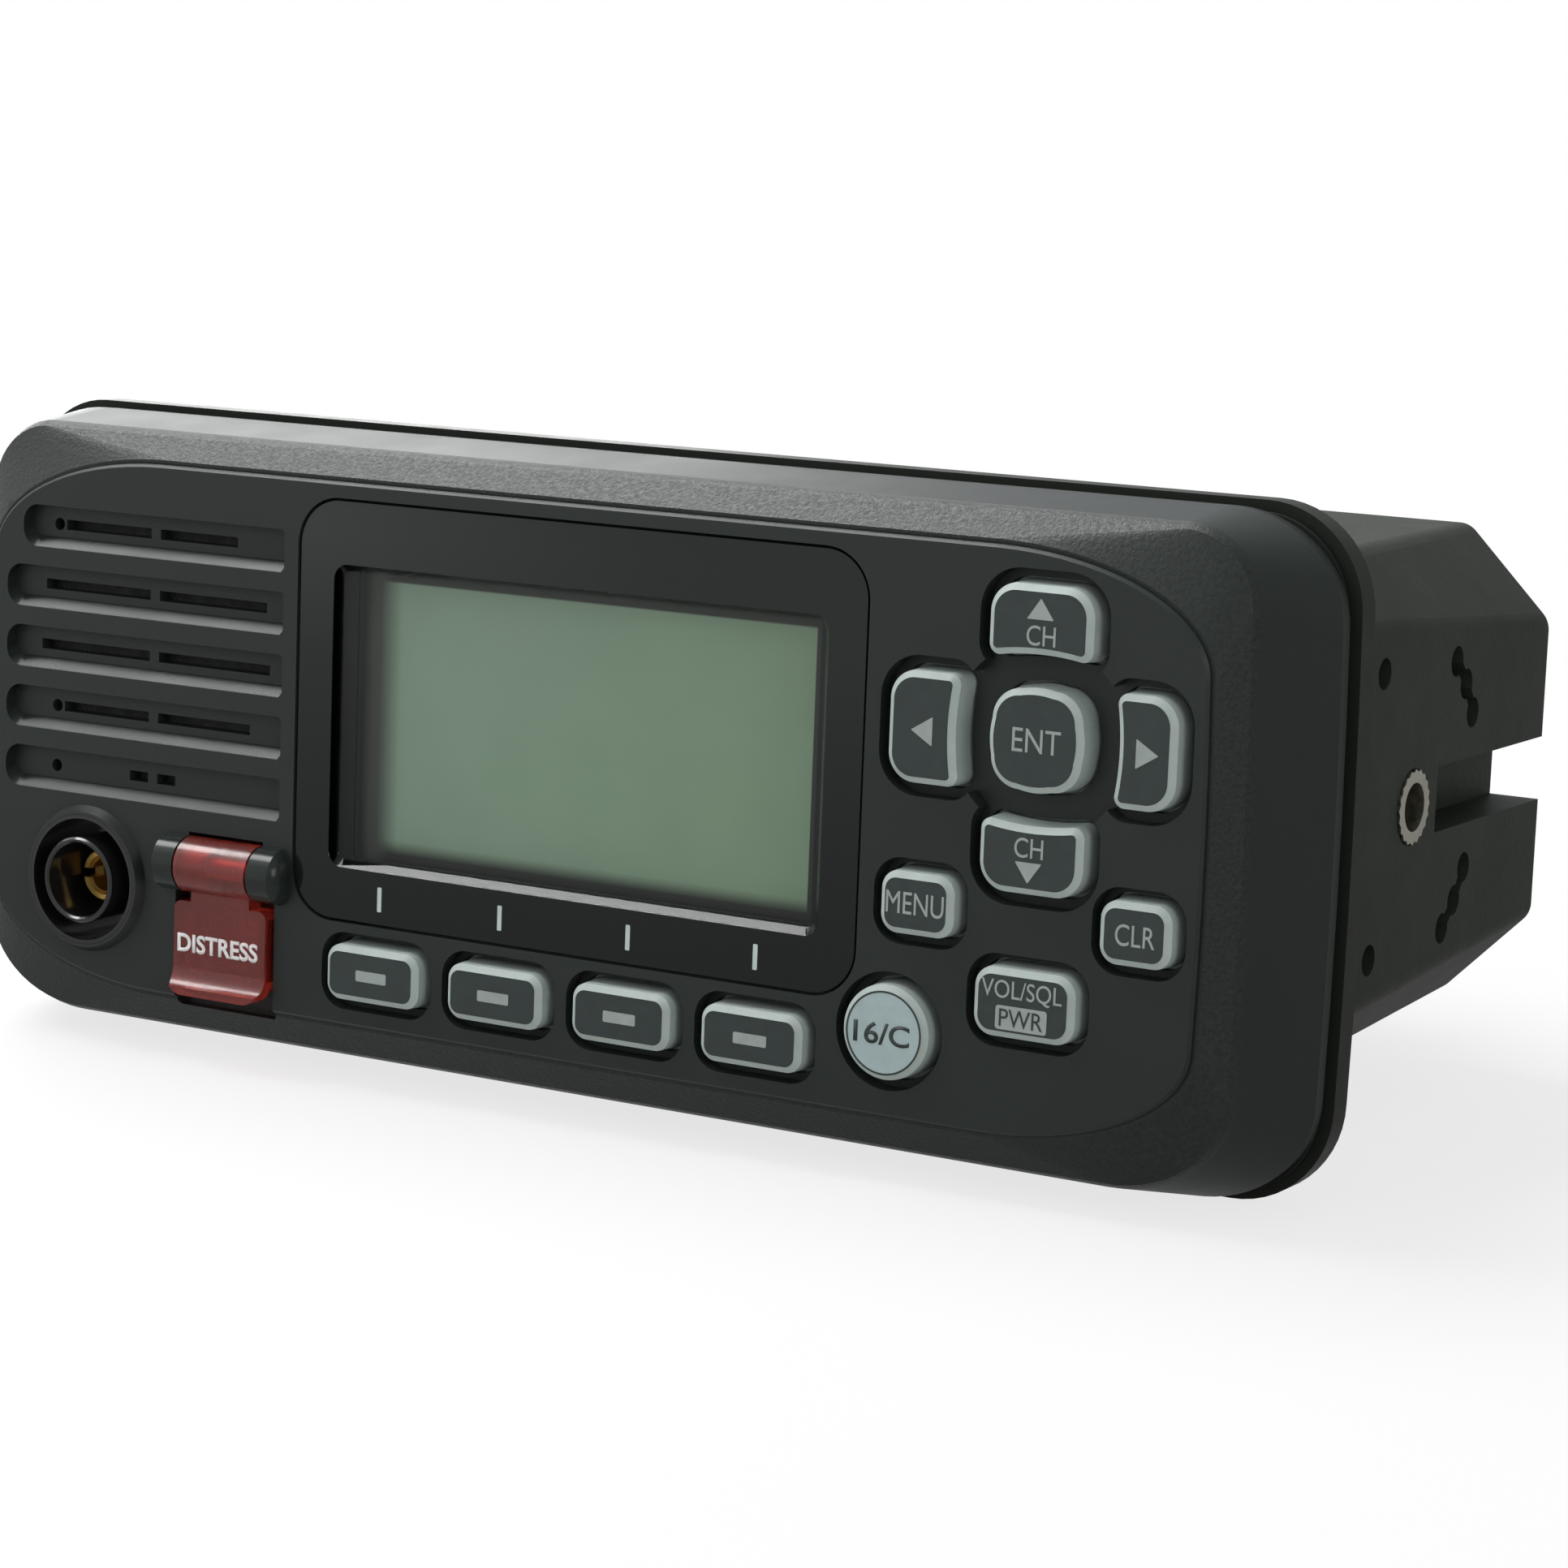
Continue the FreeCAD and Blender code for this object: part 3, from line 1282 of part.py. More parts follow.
def make_case_screws():
    screws = [pan_screw(x, z, case_screw_radius, case_screw_head_radius, case_screw_head_height,
                        flange_rear_y - case_screw_sink, case_screw_length) for x, z in case_screw_places()]
    return Part.makeCompound(screws)


# ---- main board ----
def make_main_board():
    board = block(-main_board_width / 2, main_board_width / 2, main_board_front_y, main_board_rear_y,
                  main_board_z, main_board_top_z)
    holes = [Part.makeCylinder(main_screw_radius + blind_gap, board_thickness + 2 * cut_over,
                               Vector(x, y, main_board_z - cut_over)) for x, y in main_post_places()]
    connector = block(-connector_width / 2, connector_width / 2,
                      main_board_front_y, main_board_front_y + connector_height,
                      main_board_top_z, main_board_top_z + connector_depth)
    return fused([board.cut(holes), connector])


def make_main_board_screws():
    screws = []
    for x, y in main_post_places():
        head = Part.makeCylinder(main_screw_head_radius, main_screw_head_height,
                                 Vector(x, y, main_board_top_z))
        shank = Part.makeCylinder(main_screw_radius, main_screw_length,
                                  Vector(x, y, main_board_top_z - main_screw_length))
        screws.append(fused([head, shank]))
    return Part.makeCompound(screws)


def make_shield_can():
    x0 = can_x - can_width / 2
    y0 = can_front_y
    z0 = main_board_top_z
    can = block(x0, x0 + can_width, y0, y0 + can_length, z0, z0 + can_height)
    upright = [edge for edge in can.Edges
               if abs(edge.Vertexes[0].Point.z - edge.Vertexes[1].Point.z) > can_height / 2]
    can = can.makeFillet(can_corner, upright)
    hollow = block(x0 + can_wall, x0 + can_width - can_wall, y0 + can_wall, y0 + can_length - can_wall,
                   z0 - cut_over, z0 + can_height - can_wall)
    return can.cut(hollow)


def make_power_module():
    """Radio power amplifier, bolted to the heat sink's pedestal with its leads on the board."""
    front = pedestal_front_y - module_depth
    z0 = pedestal_z - module_height / 2
    body = block(-module_width / 2, module_width / 2, front, pedestal_front_y, z0, z0 + module_height)
    leads = []
    for index in range(module_lead_count):
        x = (index - (module_lead_count - 1) / 2) * module_width / module_lead_count
        leads.append(block(x, x + module_lead_size, front, front + module_lead_size, main_board_top_z, z0))
    return fused([body] + leads)


def make_flex_cable():
    """Ribbon from the front board's connector back and down to the main board's connector."""
    y0 = board_rear_y + connector_depth
    z0 = flex_front_z
    y1 = y0 + flex_bend
    y2 = main_board_front_y
    z1 = main_board_top_z + connector_depth / 2
    r = flex_bend
    far = r * half_turn_share
    near = r - far
    path = [
        Part.LineSegment(Vector(0, y0, z0), Vector(0, y1, z0)),
        Part.Arc(Vector(0, y1, z0), Vector(0, y1 + far, z0 - near), Vector(0, y1 + r, z0 - r)),
        Part.LineSegment(Vector(0, y1 + r, z0 - r), Vector(0, y1 + r, z1 + r)),
        Part.Arc(Vector(0, y1 + r, z1 + r), Vector(0, y1 + r + near, z1 + near),
                 Vector(0, y1 + 2 * r, z1)),
        Part.LineSegment(Vector(0, y1 + 2 * r, z1), Vector(0, y2, z1)),
    ]
    wire = Part.Wire([segment.toShape() for segment in path])
    half = flex_thickness / 2
    side = flex_width / 2
    section = Part.makePolygon([Vector(-side, y0, z0 - half), Vector(side, y0, z0 - half),
                                Vector(side, y0, z0 + half), Vector(-side, y0, z0 + half),
                                Vector(-side, y0, z0 - half)])
    return wire.makePipeShell([section], True, False)


# ---- heat sink, antenna socket, glands ----
def sink_screw_places():
    return [(sx * sink_screw_x, sz * sink_screw_z) for sx in (-1, 1) for sz in (-1, 1)]


def fin(x):
    """One tapered fin, thicker at its root."""
    half_root = fin_root / 2
    half_tip = fin_tip / 2
    low = -fin_height / 2
    profile = Part.makePolygon([
        Vector(x - half_root, fin_front_y, low), Vector(x + half_root, fin_front_y, low),
        Vector(x + half_tip, rear_most_y, low), Vector(x - half_tip, rear_most_y, low),
        Vector(x - half_root, fin_front_y, low)])
    return Part.Face(profile).extrude(Vector(0, 0, fin_height))


def make_heat_sink():
    plate = Outline(0, 0, sink_plate_width, sink_plate_height, sink_plate_corner)
    plate = plate.prism(case_rear_y, fin_front_y)
    pedestal = pedestal_outline().prism(pedestal_front_y, case_rear_y)
    fins = [fin((index - (fin_count - 1) / 2) * fin_pitch) for index in range(fin_count)]
    sink = fused([plate, pedestal] + fins)
    tools = [rod(x, z, sink_screw_radius + blind_gap, case_rear_y - cut_over, fin_front_y + cut_over)
             for x, z in sink_screw_places()]
    spot_radius = sink_screw_head_radius + sink_screw_head_gap
    tools += [rod(x, z, spot_radius, fin_front_y - sink_screw_spot_depth, fin_front_y + cut_over)
              for x, z in sink_screw_places()]
    tools += [rod(gland_x, z, gland_radius, case_rear_y - cut_over, fin_front_y + cut_over)
              for z in (power_gland_z, signal_gland_z)]
    return sink.cut(tools)


def make_heat_sink_screws():
    screws = [pan_screw(x, z, sink_screw_radius, sink_screw_head_radius, sink_screw_head_height,
                        fin_front_y - sink_screw_spot_depth, sink_screw_length)
              for x, z in sink_screw_places()]
    return Part.makeCompound(screws)


def make_antenna_socket():
    """Coaxial bulkhead socket: its flange sits on the heat sink and its shell takes the plug's ring."""
    back = fin_front_y
    end = rear_most_y - antenna_rear_gap
    return turned(antenna_x, antenna_z, [
        (0, back), (antenna_flange_radius, back), (antenna_flange_radius, back + antenna_flange_thickness),
        (antenna_thread_radius, back + antenna_flange_thickness),
        (antenna_thread_radius, end - antenna_thread_chamfer),
        (antenna_thread_radius - antenna_thread_chamfer, end), (antenna_bore_radius, end),
        (antenna_bore_radius, back + antenna_flange_thickness), (0, back + antenna_flange_thickness)])


def make_antenna_insulator():
    back = fin_front_y + antenna_flange_thickness
    return turned(antenna_x, antenna_z, [
        (0, back), (antenna_bore_radius - thread_clearance, back),
        (antenna_bore_radius - thread_clearance, back + antenna_insulator_front),
        (antenna_contact_radius + thread_clearance, back + antenna_insulator_front),
        (antenna_contact_radius + thread_clearance, back + antenna_wall_depth),
        (0, back + antenna_wall_depth)])


def make_antenna_contact():
    start = fin_front_y + antenna_flange_thickness + antenna_wall_depth
    end = start + antenna_insulator_front - antenna_wall_depth + antenna_contact_proud
    return turned(antenna_x, antenna_z, [
        (0, start), (antenna_contact_radius, start),
        (antenna_contact_radius, end - antenna_contact_chamfer),
        (antenna_contact_radius - antenna_contact_chamfer, end), (antenna_contact_bore, end),
        (antenna_contact_bore, start + antenna_contact_base), (0, start + antenna_contact_base)])


def make_gland(z):
    """Rubber gland for a lead: a neck through the rear wall and a tapered collar outside it."""
    inner = rear_wall_front_y
    outer = fin_front_y
    end = outer + gland_collar_length
    return turned(gland_x, z, [
        (gland_bore_radius, inner - gland_inner_reach), (gland_inner_collar, inner - gland_inner_reach),
        (gland_inner_collar, inner),
        (gland_radius - thread_clearance, inner), (gland_radius - thread_clearance, outer),
        (gland_collar_radius, outer), (gland_collar_radius, outer + gland_collar_straight),
        (gland_tip_radius, end), (gland_bore_radius, end)])


def main():
    os.makedirs("parts", exist_ok=True)
    save("front_panel", make_front_panel())
    save("window_lens", make_window_lens())
    save("window_tape", make_window_tape())
    save("lcd_glass", make_lcd_glass())
    save("lcd_holder", make_lcd_holder())
    save("keypad_mat", make_keypad_mat())
    for name, outline in list(pad_outlines().items()) + list(single_key_outlines().items()):
        save(name, make_key(outline, key_top_y))
    save("distress_key", make_key(distress_outline(), distress_key_front_y))
    save("distress_cover", make_distress_cover())
    save("distress_pin", make_distress_pin())
    save("distress_spring", make_distress_spring())
    save("mic_socket_body", make_mic_socket_body())
    save("mic_socket_collar", make_mic_socket_collar())
    save("mic_socket_contact", make_mic_socket_contact())
    save("speaker_net", make_speaker_net())
    save("speaker_frame", make_speaker_frame())
    save("speaker_cone", make_speaker_cone())
    save("speaker_magnet", make_speaker_magnet())
    save("front_board", make_front_board())
    save("key_domes", make_key_domes())
    save("front_board_screws", make_front_board_screws())
    save("flex_cable", make_flex_cable())
    save("main_seal", make_main_seal())
    save("rear_case", make_rear_case())
    save("insert_left", make_insert(-1))
    save("insert_right", make_insert(1))
    save("case_screws", make_case_screws())
    save("main_board", make_main_board())
    save("main_board_screws", make_main_board_screws())
    save("shield_can", make_shield_can())
    save("power_module", make_power_module())
    save("heat_sink", make_heat_sink())
    save("heat_sink_screws", make_heat_sink_screws())
    save("antenna_socket", make_antenna_socket())
    save("antenna_insulator", make_antenna_insulator())
    save("antenna_contact", make_antenna_contact())
    save("power_gland", make_gland(power_gland_z))
    save("signal_gland", make_gland(signal_gland_z))
    for name, shape in nodes.items():
        box = shape.BoundBox
        print("%-20s solids %d valid %s volume %.1f y %.2f..%.2f"
              % (name, len(shape.Solids), shape.isValid(), shape.Volume, box.YMin, box.YMax))


main()
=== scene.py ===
import math
from collections import namedtuple

import bmesh
import bpy
from mathutils import Matrix, Vector


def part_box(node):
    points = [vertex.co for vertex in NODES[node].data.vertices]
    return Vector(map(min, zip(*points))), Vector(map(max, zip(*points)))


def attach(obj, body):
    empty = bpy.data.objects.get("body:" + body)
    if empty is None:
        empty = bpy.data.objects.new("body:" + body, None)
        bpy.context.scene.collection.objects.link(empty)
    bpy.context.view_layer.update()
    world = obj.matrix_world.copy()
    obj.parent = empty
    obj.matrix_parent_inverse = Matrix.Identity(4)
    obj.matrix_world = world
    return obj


bl_info = {
    "name": "Marine radio finishes",
    "version": (1, 0, 0),
    "blender": (4, 5, 0),
    "location": "3D View > Sidebar > Radio",
    "description": "Finishes, printed keys and a studio for a compact marine radio",
    "category": "Object",
}

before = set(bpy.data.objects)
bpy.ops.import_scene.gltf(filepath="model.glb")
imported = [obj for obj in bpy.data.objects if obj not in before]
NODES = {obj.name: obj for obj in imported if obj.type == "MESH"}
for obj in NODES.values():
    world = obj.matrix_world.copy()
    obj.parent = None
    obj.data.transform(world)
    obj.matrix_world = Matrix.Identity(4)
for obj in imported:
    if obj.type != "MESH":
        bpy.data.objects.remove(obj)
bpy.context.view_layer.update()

MM = 0.001

# The middle of the panel's front face in the row frame, and the levels along y of other faces.
DATUM = Vector((0.0, -0.0521, 0.0325))
KEY_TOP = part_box("key_enter")[0].y
LENS_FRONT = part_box("window_lens")[0].y
COVER_FRONT = DATUM.y - 0.8 * MM
FLANGE_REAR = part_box("rear_case")[0].y + 0.0049

# The raised middle of the panel: its height over the floor, half of each flat side, and its corners.
PLATEAU_MIDDLE = 0.03365
PLATEAU_CORNER_X = 0.0220
PLATEAU_CORNER_Z = 0.0105
PLATEAU_FLAT_X = 0.0484
PLATEAU_FLAT_Z = 0.02745 - PLATEAU_CORNER_Z

# From and to along y: the ridge behind the sloping border, the louvres' lips, and the hinge lugs,
# which stand proud of the front face.
RIDGE_Y = (DATUM.y + 0.0036, DATUM.y + 0.0041)
LIPS_Y = (DATUM.y + 0.00008, DATUM.y + 0.00142)
LUGS_Y = (DATUM.y - 0.0006, DATUM.y - 0.0002)

# The field of the louvres, and how far the shading of their lips is rolled forward.
LOUVRES_X = (-0.0690, -0.0318)
LOUVRES_Z = (DATUM.z - 0.0092, DATUM.z + 0.0233)
LIP_ROLL = 0.42

# The left edge of the window's recess, where the painted shadow beside it fades out towards the top, and
# where a painted reflection turns the gloss black round the recess paler towards its upper left corner.
RECESS_LEFT = -0.0263
SHADOW_TOP_Z = (0.0520, 0.0575)
PAINTED_REFLECTION_X = (-0.030, 0.012)
PAINTED_REFLECTION_Z = (0.044, 0.056)

# Where the display's area fades out on each side, with a painted shadow at its left and foot, and where the
# frame behind it turns dark.
DISPLAY_LEFT_X = (-0.0231, -0.0205)
DISPLAY_RIGHT_X = (0.02745, 0.02755)
DISPLAY_TOP_Z = (0.05105, 0.05125)
DISPLAY_FOOT_Z = (0.0236, 0.0250)
DISPLAY_FRAME_X = (-0.0240, -0.0215)

# Prints on the front, placed in millimetres from the middle of the front face.
TICKS_X = (-19.8, -5.26, 9.75, 24.17)
TICKS_Z = -12.95
DASHES_X = (-19.8, -5.0, 9.8, 24.6)
DASHES_Z = -20.75
PLATE_CENTRE = (53.45, -14.8)

# Words on the keys: node, words, middle, and width and height in millimetres.
LEGENDS = (
    ("key_up", "CH", (53.7, 20.75), (2.95, 1.85)),
    ("key_down", "CH", (53.45, 1.2), (2.95, 1.85)),
    ("key_enter", "ENT", (53.7, 11.1), (4.95, 2.2)),
    ("key_menu", "MENU", (41.87, -5.45), (6.1, 2.1)),
    ("key_clear", "CLR", (64.6, -5.55), (4.0, 2.0)),
    ("key_power", "VOL/SQL", (53.4, -12.3), (8.3, 2.0)),
)

# Arrows on the keys: node, middle, width and height in millimetres, and turn from upwards.
ARROWS = (
    ("key_up", (53.55, 23.2), (2.75, 1.95), 0.0),
    ("key_down", (53.45, -1.1), (2.75, 1.95), math.pi),
    ("key_left", (41.8, 10.85), (2.75, 2.25), math.pi / 2.0),
    ("key_right", (64.9, 11.05), (2.75, 2.25), -math.pi / 2.0),
)

# Fixed tones of pieces that the sidebar doesn't offer, and how much darker the case's flange is.
FLANGE_SHADE = 0.65
SEAL_BLACK = (0.010, 0.011, 0.010)
KEY_RED = (0.16, 0.012, 0.012)
FILM_RED = (0.75, 0.16, 0.13, 1.0)
SOCKET_BLACK = (0.008, 0.008, 0.008)
COLLAR_BLACK = (0.0100, 0.0125, 0.0115)
# Painted tones: the black of the painted shadow beside the window's recess, and the paler tone of the
# painted reflection at the window's upper left corner.
SHADOW_BLACK = (0.0006, 0.0006, 0.0006)
PAINTED_REFLECTION_TONE = (0.018, 0.0215, 0.020)
LENS_TINTS = ((0.965, 0.985, 0.970), (0.985, 0.995, 0.985))
FRAME_TONES = ((0.010, 0.011, 0.010), (0.052, 0.055, 0.052))
HOLDER_WHITE = (0.70, 0.71, 0.69)
INSULATOR_WHITE = (0.78, 0.78, 0.75)
WORD_WHITE = (0.62, 0.62, 0.61)
CAST_TONES = ((0.30, 0.305, 0.30), (0.46, 0.46, 0.45))
BOARD_TONES = ((0.012, 0.10, 0.035), (0.020, 0.16, 0.055))
NET_TONES = ((0.002, 0.002, 0.002), (0.006, 0.006, 0.006))
CONE_GREY = (0.035, 0.033, 0.031)
NICKEL = (0.62, 0.61, 0.57)
STEEL = (0.55, 0.56, 0.57)
TIN = (0.66, 0.67, 0.68)
MAGNET_GREY = (0.32, 0.32, 0.33)
FILM_AMBER = (0.48, 0.20, 0.035)
CERAMIC = (0.55, 0.54, 0.50)
PAPER = (0.50, 0.50, 0.49)
ROOM_TINT = (0.96, 0.98, 1.0, 1.0)
WHITE = (1.0, 1.0, 1.0, 1.0)

# The soft lamps: name, place, aim, width, height and power.
LAMPS = (
    ("overhead softbox", (-0.43, 0.03, 0.74), (0.0, -0.01, 0.04), 0.70, 0.44, 12.4),
    ("left softbox", (-0.90, -0.30, 0.50), (0.0, -0.03, 0.03), 0.80, 0.80, 2.0),
    ("front softbox", (-0.25, -0.95, 0.50), (0.0, -0.05, 0.03), 0.50, 0.50, 1.5),
    ("side softbox", (0.85, -0.45, 0.30), (0.05, -0.03, 0.03), 0.40, 0.40, 2.0),
    ("rear softbox", (-0.78, 0.78, 0.26), (-0.05, -0.02, 0.06), 0.50, 0.40, 3.5),
)

# The camera: its place in millimetres from the middle of the front face, its turns in radians, and its
# focal length in pixels of a square frame.
CAMERA_PLACE = (234.88, -356.08, 68.50)
CAMERA_AZIMUTH = 0.529
CAMERA_ELEVATION = 0.155
CAMERA_ROLL = 0.038
SENSOR_WIDTH = 36.0
FOCAL_PIXELS = 5450.113
FRAME_PIXELS = 1932.0


# ---- settings ----


def colour_setting(name, description, default):
    return bpy.props.FloatVectorProperty(
        name=name,
        description=description,
        subtype="COLOR",
        size=3,
        min=0.0,
        max=1.0,
        default=default,
    )


def length_setting(name, description, default):
    return bpy.props.FloatProperty(
        name=name,
        description=description,
        default=default,
        min=0.0,
        unit="LENGTH",
        subtype="DISTANCE",
        precision=6,
    )


class RadioColours(bpy.types.PropertyGroup):
    panel: colour_setting("Panel", "Satin plastic of the front panel", (0.0136, 0.0174, 0.0160))
    case: colour_setting("Case", "Textured plastic of the rear case", (0.0205, 0.0240, 0.0190))
    key_side: colour_setting("Key sides", "Pale rubber of the keys", (0.300, 0.345, 0.325))
    key_face: colour_setting("Key faces", "Dark print on the key tops", (0.026, 0.034, 0.032))
    round_face: colour_setting("Round key face", "Pale print on the round key", (0.27, 0.335, 0.335))
    legend: colour_setting("Legends", "Pale lettering on the keys", (0.235, 0.265, 0.255))
    tick: colour_setting("Ticks", "Marks under the window", (0.36, 0.42, 0.40))
    display: colour_setting("Display", "Resting display glass", (0.145, 0.205, 0.140))
    window_border: colour_setting("Window border", "Gloss black behind the window", (0.0050, 0.0066, 0.0060))
    cover: colour_setting("Cover", "Clear red of the distress cover", (0.36, 0.045, 0.030))
    contact: colour_setting("Contacts", "Gold plating", (0.86, 0.56, 0.16))
    insert: colour_setting("Inserts", "Plated brass of the bracket inserts", (0.42, 0.41, 0.34))


class RadioSizes(bpy.types.PropertyGroup):
    print_rise: length_setting("Print rise", "Thickness of a printed layer", 0.00004)
    legend_rise: length_setting("Legend rise", "Thickness of a legend on a print", 0.00003)
    tick_width: length_setting("Tick width", "Width of a mark under the window", 0.0005)
    tick_height: length_setting("Tick height", "Height of a mark under the window", 0.0025)
    dash_width: length_setting("Dash width", "Width of the dash on a soft key", 0.0037)
    dash_height: length_setting("Dash height", "Height of the dash on a soft key", 0.0011)
    ring_radius: length_setting("Ring radius", "Radius of the ring on the round key", 0.00393)
    ring_width: length_setting("Ring width", "Width of the ring's line", 0.00018)
    floor_size: length_setting("Floor size", "Side of the studio floor", 6.0)


def colours():
    return bpy.context.scene.radio_colours


def sizes():
    return bpy.context.scene.radio_sizes


# ---- node materials ----


class Nodes:
    """A node tree under construction, with short calls for the nodes that the trees share."""

    def __init__(self, tree):
        self.tree = tree

    def node(self, kind, **settings):
        made = self.tree.nodes.new(kind)
        for key, value in settings.items():
            setattr(made, key, value)
        return made

    def link(self, source, target):
        self.tree.links.new(source, target)

    def span(self, value, low, high, from_low=0.3, from_high=0.7):
        """A number from low to high, as the value goes between its own two limits."""
        made = self.node("ShaderNodeMapRange")
        made.inputs["From Min"].default_value = from_low
        made.inputs["From Max"].default_value = from_high
        made.inputs["To Min"].default_value = low
        made.inputs["To Max"].default_value = high
        self.link(value, made.inputs["Value"])
        return made.outputs["Result"]

    def math(self, operation, *values):
        made = self.node("ShaderNodeMath", operation=operation)
        for place, value in zip(made.inputs, values):
            if isinstance(value, float):
                place.default_value = value
            else:
                self.link(value, place)
        return made.outputs["Value"]

    def product(self, first, *others):
        for other in others:
            first = self.math("MULTIPLY", first, other)
        return first

    def rays(self, first, *others):
        """1 for rays of the given kinds, by which the backdrop is seen, mirrored or looked through."""
        path = self.node("ShaderNodeLightPath")
        share = path.outputs[first]
        for kind in others:
            share = self.math("MAXIMUM", share, path.outputs[kind])
        return share

    def mixed_shader(self, share, first, second):
        made = self.node("ShaderNodeMixShader")
        self.link(share, made.inputs["Fac"])
        self.link(first, made.inputs[1])
        self.link(second, made.inputs[2])
        return made.outputs["Shader"]


class Finish(Nodes):
    """A material under construction, with short calls for what its finish is made of."""

    def __init__(self, name):
        self.material = bpy.data.materials.new(name)
        self.material.use_nodes = True
        super().__init__(self.material.node_tree)
        self.shader = self.tree.nodes["Principled BSDF"]
        self.place = self.node("ShaderNodeTexCoord").outputs["Object"]

    def set(self, **values):
        for key, value in values.items():
            self.shader.inputs[key.replace("_", " ")].default_value = value

    def position(self, axes="XYZ"):
        """The place on the piece along the named axes."""
        made = self.node("ShaderNodeSeparateXYZ")
        self.link(self.place, made.inputs["Vector"])
        return [made.outputs[axis] for axis in axes]

    def noise(self, scale, detail=3.0, roughness=0.55):
        made = self.node("ShaderNodeTexNoise")
        made.inputs["Scale"].default_value = scale
        made.inputs["Detail"].default_value = detail
        made.inputs["Roughness"].default_value = roughness
        self.link(self.place, made.inputs["Vector"])
        return made.outputs["Fac"]

    def blend(self, value, first, second):
        """A colour between two, each of them plain or from another node."""
        made = self.node("ShaderNodeMix", data_type="RGBA")
        self.link(value, made.inputs["Factor"])
        for source, target in ((first, made.inputs["A"]), (second, made.inputs["B"])):
            if isinstance(source, (tuple, list)):
                target.default_value = (*source, 1.0)
            else:
                self.link(source, target)
        return made.outputs["Result"]

    def mixed(self, share, first, second, kind="FLOAT"):
        """A number between two from other nodes, or a direction where the kind is VECTOR."""
        made = self.node("ShaderNodeMix", data_type=kind)
        self.link(share, made.inputs["Factor"])
        self.link(first, made.inputs["A"])
        self.link(second, made.inputs["B"])
        return made.outputs["Result"]

    def between(self, value, low, high, soft):
        """1 between two limits, with soft ends."""
        rise = self.span(value, 0.0, 1.0, low - soft, low + soft)
        fall = self.span(value, 1.0, 0.0, high - soft, high + soft)
        return self.math("MULTIPLY", rise, fall)

    def bump(self, height, depth, over=None):
        made = self.node("ShaderNodeBump")
        made.inputs["Distance"].default_value = depth
        made.inputs["Strength"].default_value = 1.0
        self.link(height, made.inputs["Height"])
        if over is not None:
            self.link(over, made.inputs["Normal"])
        return made.outputs["Normal"]

    def colour(self, value):
        self.link(value, self.shader.inputs["Base Color"])

    def rough(self, value):
        self.link(value, self.shader.inputs["Roughness"])

    def normal(self, value):
        self.link(value, self.shader.inputs["Normal"])

    def show(self, shader):
        self.link(shader, self.tree.nodes["Material Output"].inputs["Surface"])


def shade(colour, factor):
    return tuple(min(1.0, channel * factor) for channel in colour)


def clouded(finish, colour, spread, scale):
    """Lets the colour drift a little between a darker and a paler tone."""
    drift = finish.noise(scale, 4.0)
    return finish.blend(
        finish.span(drift, 0.0, 1.0), shade(colour, 1.0 - spread), shade(colour, 1.0 + spread)
    )


def moulded_plastic(name, colour, roughness, grain, depth, spread=0.08):
    """Spark-eroded moulded plastic: a fine even grain with slightly varied gloss."""
    finish = Finish(name)
    fine = finish.noise(grain, 2.0, 0.5)
    coarse = finish.noise(grain / 9.0, 3.0)
    finish.colour(clouded(finish, colour, spread, 60.0))
    finish.rough(finish.span(coarse, roughness - 0.05, roughness + 0.06))
    finish.normal(finish.bump(fine, depth))
    return finish


def outside_plateau(finish, x, z):
    """0 on the raised front of the panel and 1 beyond its rounded outline."""
    shares = []
    for value, middle, flat, corner in (
        (x, 0.0, PLATEAU_FLAT_X, PLATEAU_CORNER_X),
        (z, PLATEAU_MIDDLE, PLATEAU_FLAT_Z, PLATEAU_CORNER_Z),
    ):
        offset = finish.math("ABSOLUTE", finish.math("SUBTRACT", value, middle))
        beyond = finish.math("MAXIMUM", finish.math("SUBTRACT", offset, flat), 0.0)
        shares.append(finish.math("POWER", finish.math("DIVIDE", beyond, corner), 2.0))
    reach = finish.math("SQRT", finish.math("ADD", *shares))
    return finish.span(reach, 0.0, 1.0, 0.99, 1.02)


def on_louvre_lips(finish, x, y, z):
    """1 on the sloping lips of the louvres, between the front face and the louvres' floors."""
    across = finish.between(x, *LOUVRES_X, 0.00005)
    deep = finish.between(y, *LIPS_Y, 0.00002)
    upright = finish.between(z, *LOUVRES_Z, 0.00005)
    return finish.product(across, deep, upright)


def panel_plastic():
    """The front panel: smooth satin, with a coarse grain on the sloping border only."""
    tint = tuple(colours().panel)
    finish = Finish("panel plastic")
    x, y, z = finish.position()
    before_ridge = finish.span(y, 1.0, 0.0, *RIDGE_Y)
    border = finish.product(outside_plateau(finish, x, z), before_ridge)
    grain = finish.noise(2300.0, 3.0, 0.65)
    satin = finish.noise(5200.0, 2.0, 0.5)
    patches = finish.noise(90.0, 4.0)
    tone = clouded(finish, tint, 0.07, 45.0)
    grey = finish.blend(finish.span(grain, 0.0, 1.0), shade(tint, 0.70), shade(tint, 1.30))
    finish.colour(finish.blend(border, tone, grey))
    low = finish.span(patches, 0.40, 0.47)
    high = finish.span(grain, 0.36, 0.58)
    lug = finish.span(y, 1.0, 0.0, *LUGS_Y)
    gloss = finish.mixed(lug, finish.mixed(border, low, high), finish.span(patches, 0.15, 0.21))
    lips = on_louvre_lips(finish, x, y, z)
    finish.rough(finish.mixed(lips, gloss, finish.span(patches, 0.26, 0.31)))
    first = finish.bump(satin, 0.000006)
    grained = finish.bump(finish.product(grain, border), 0.00009, first)
    rolled = finish.bump(finish.product(z, LIP_ROLL), 1.0, first)
    finish.normal(finish.mixed(lips, grained, rolled, "VECTOR"))
    finish.set(Specular_IOR_Level=0.20)
    return finish.material


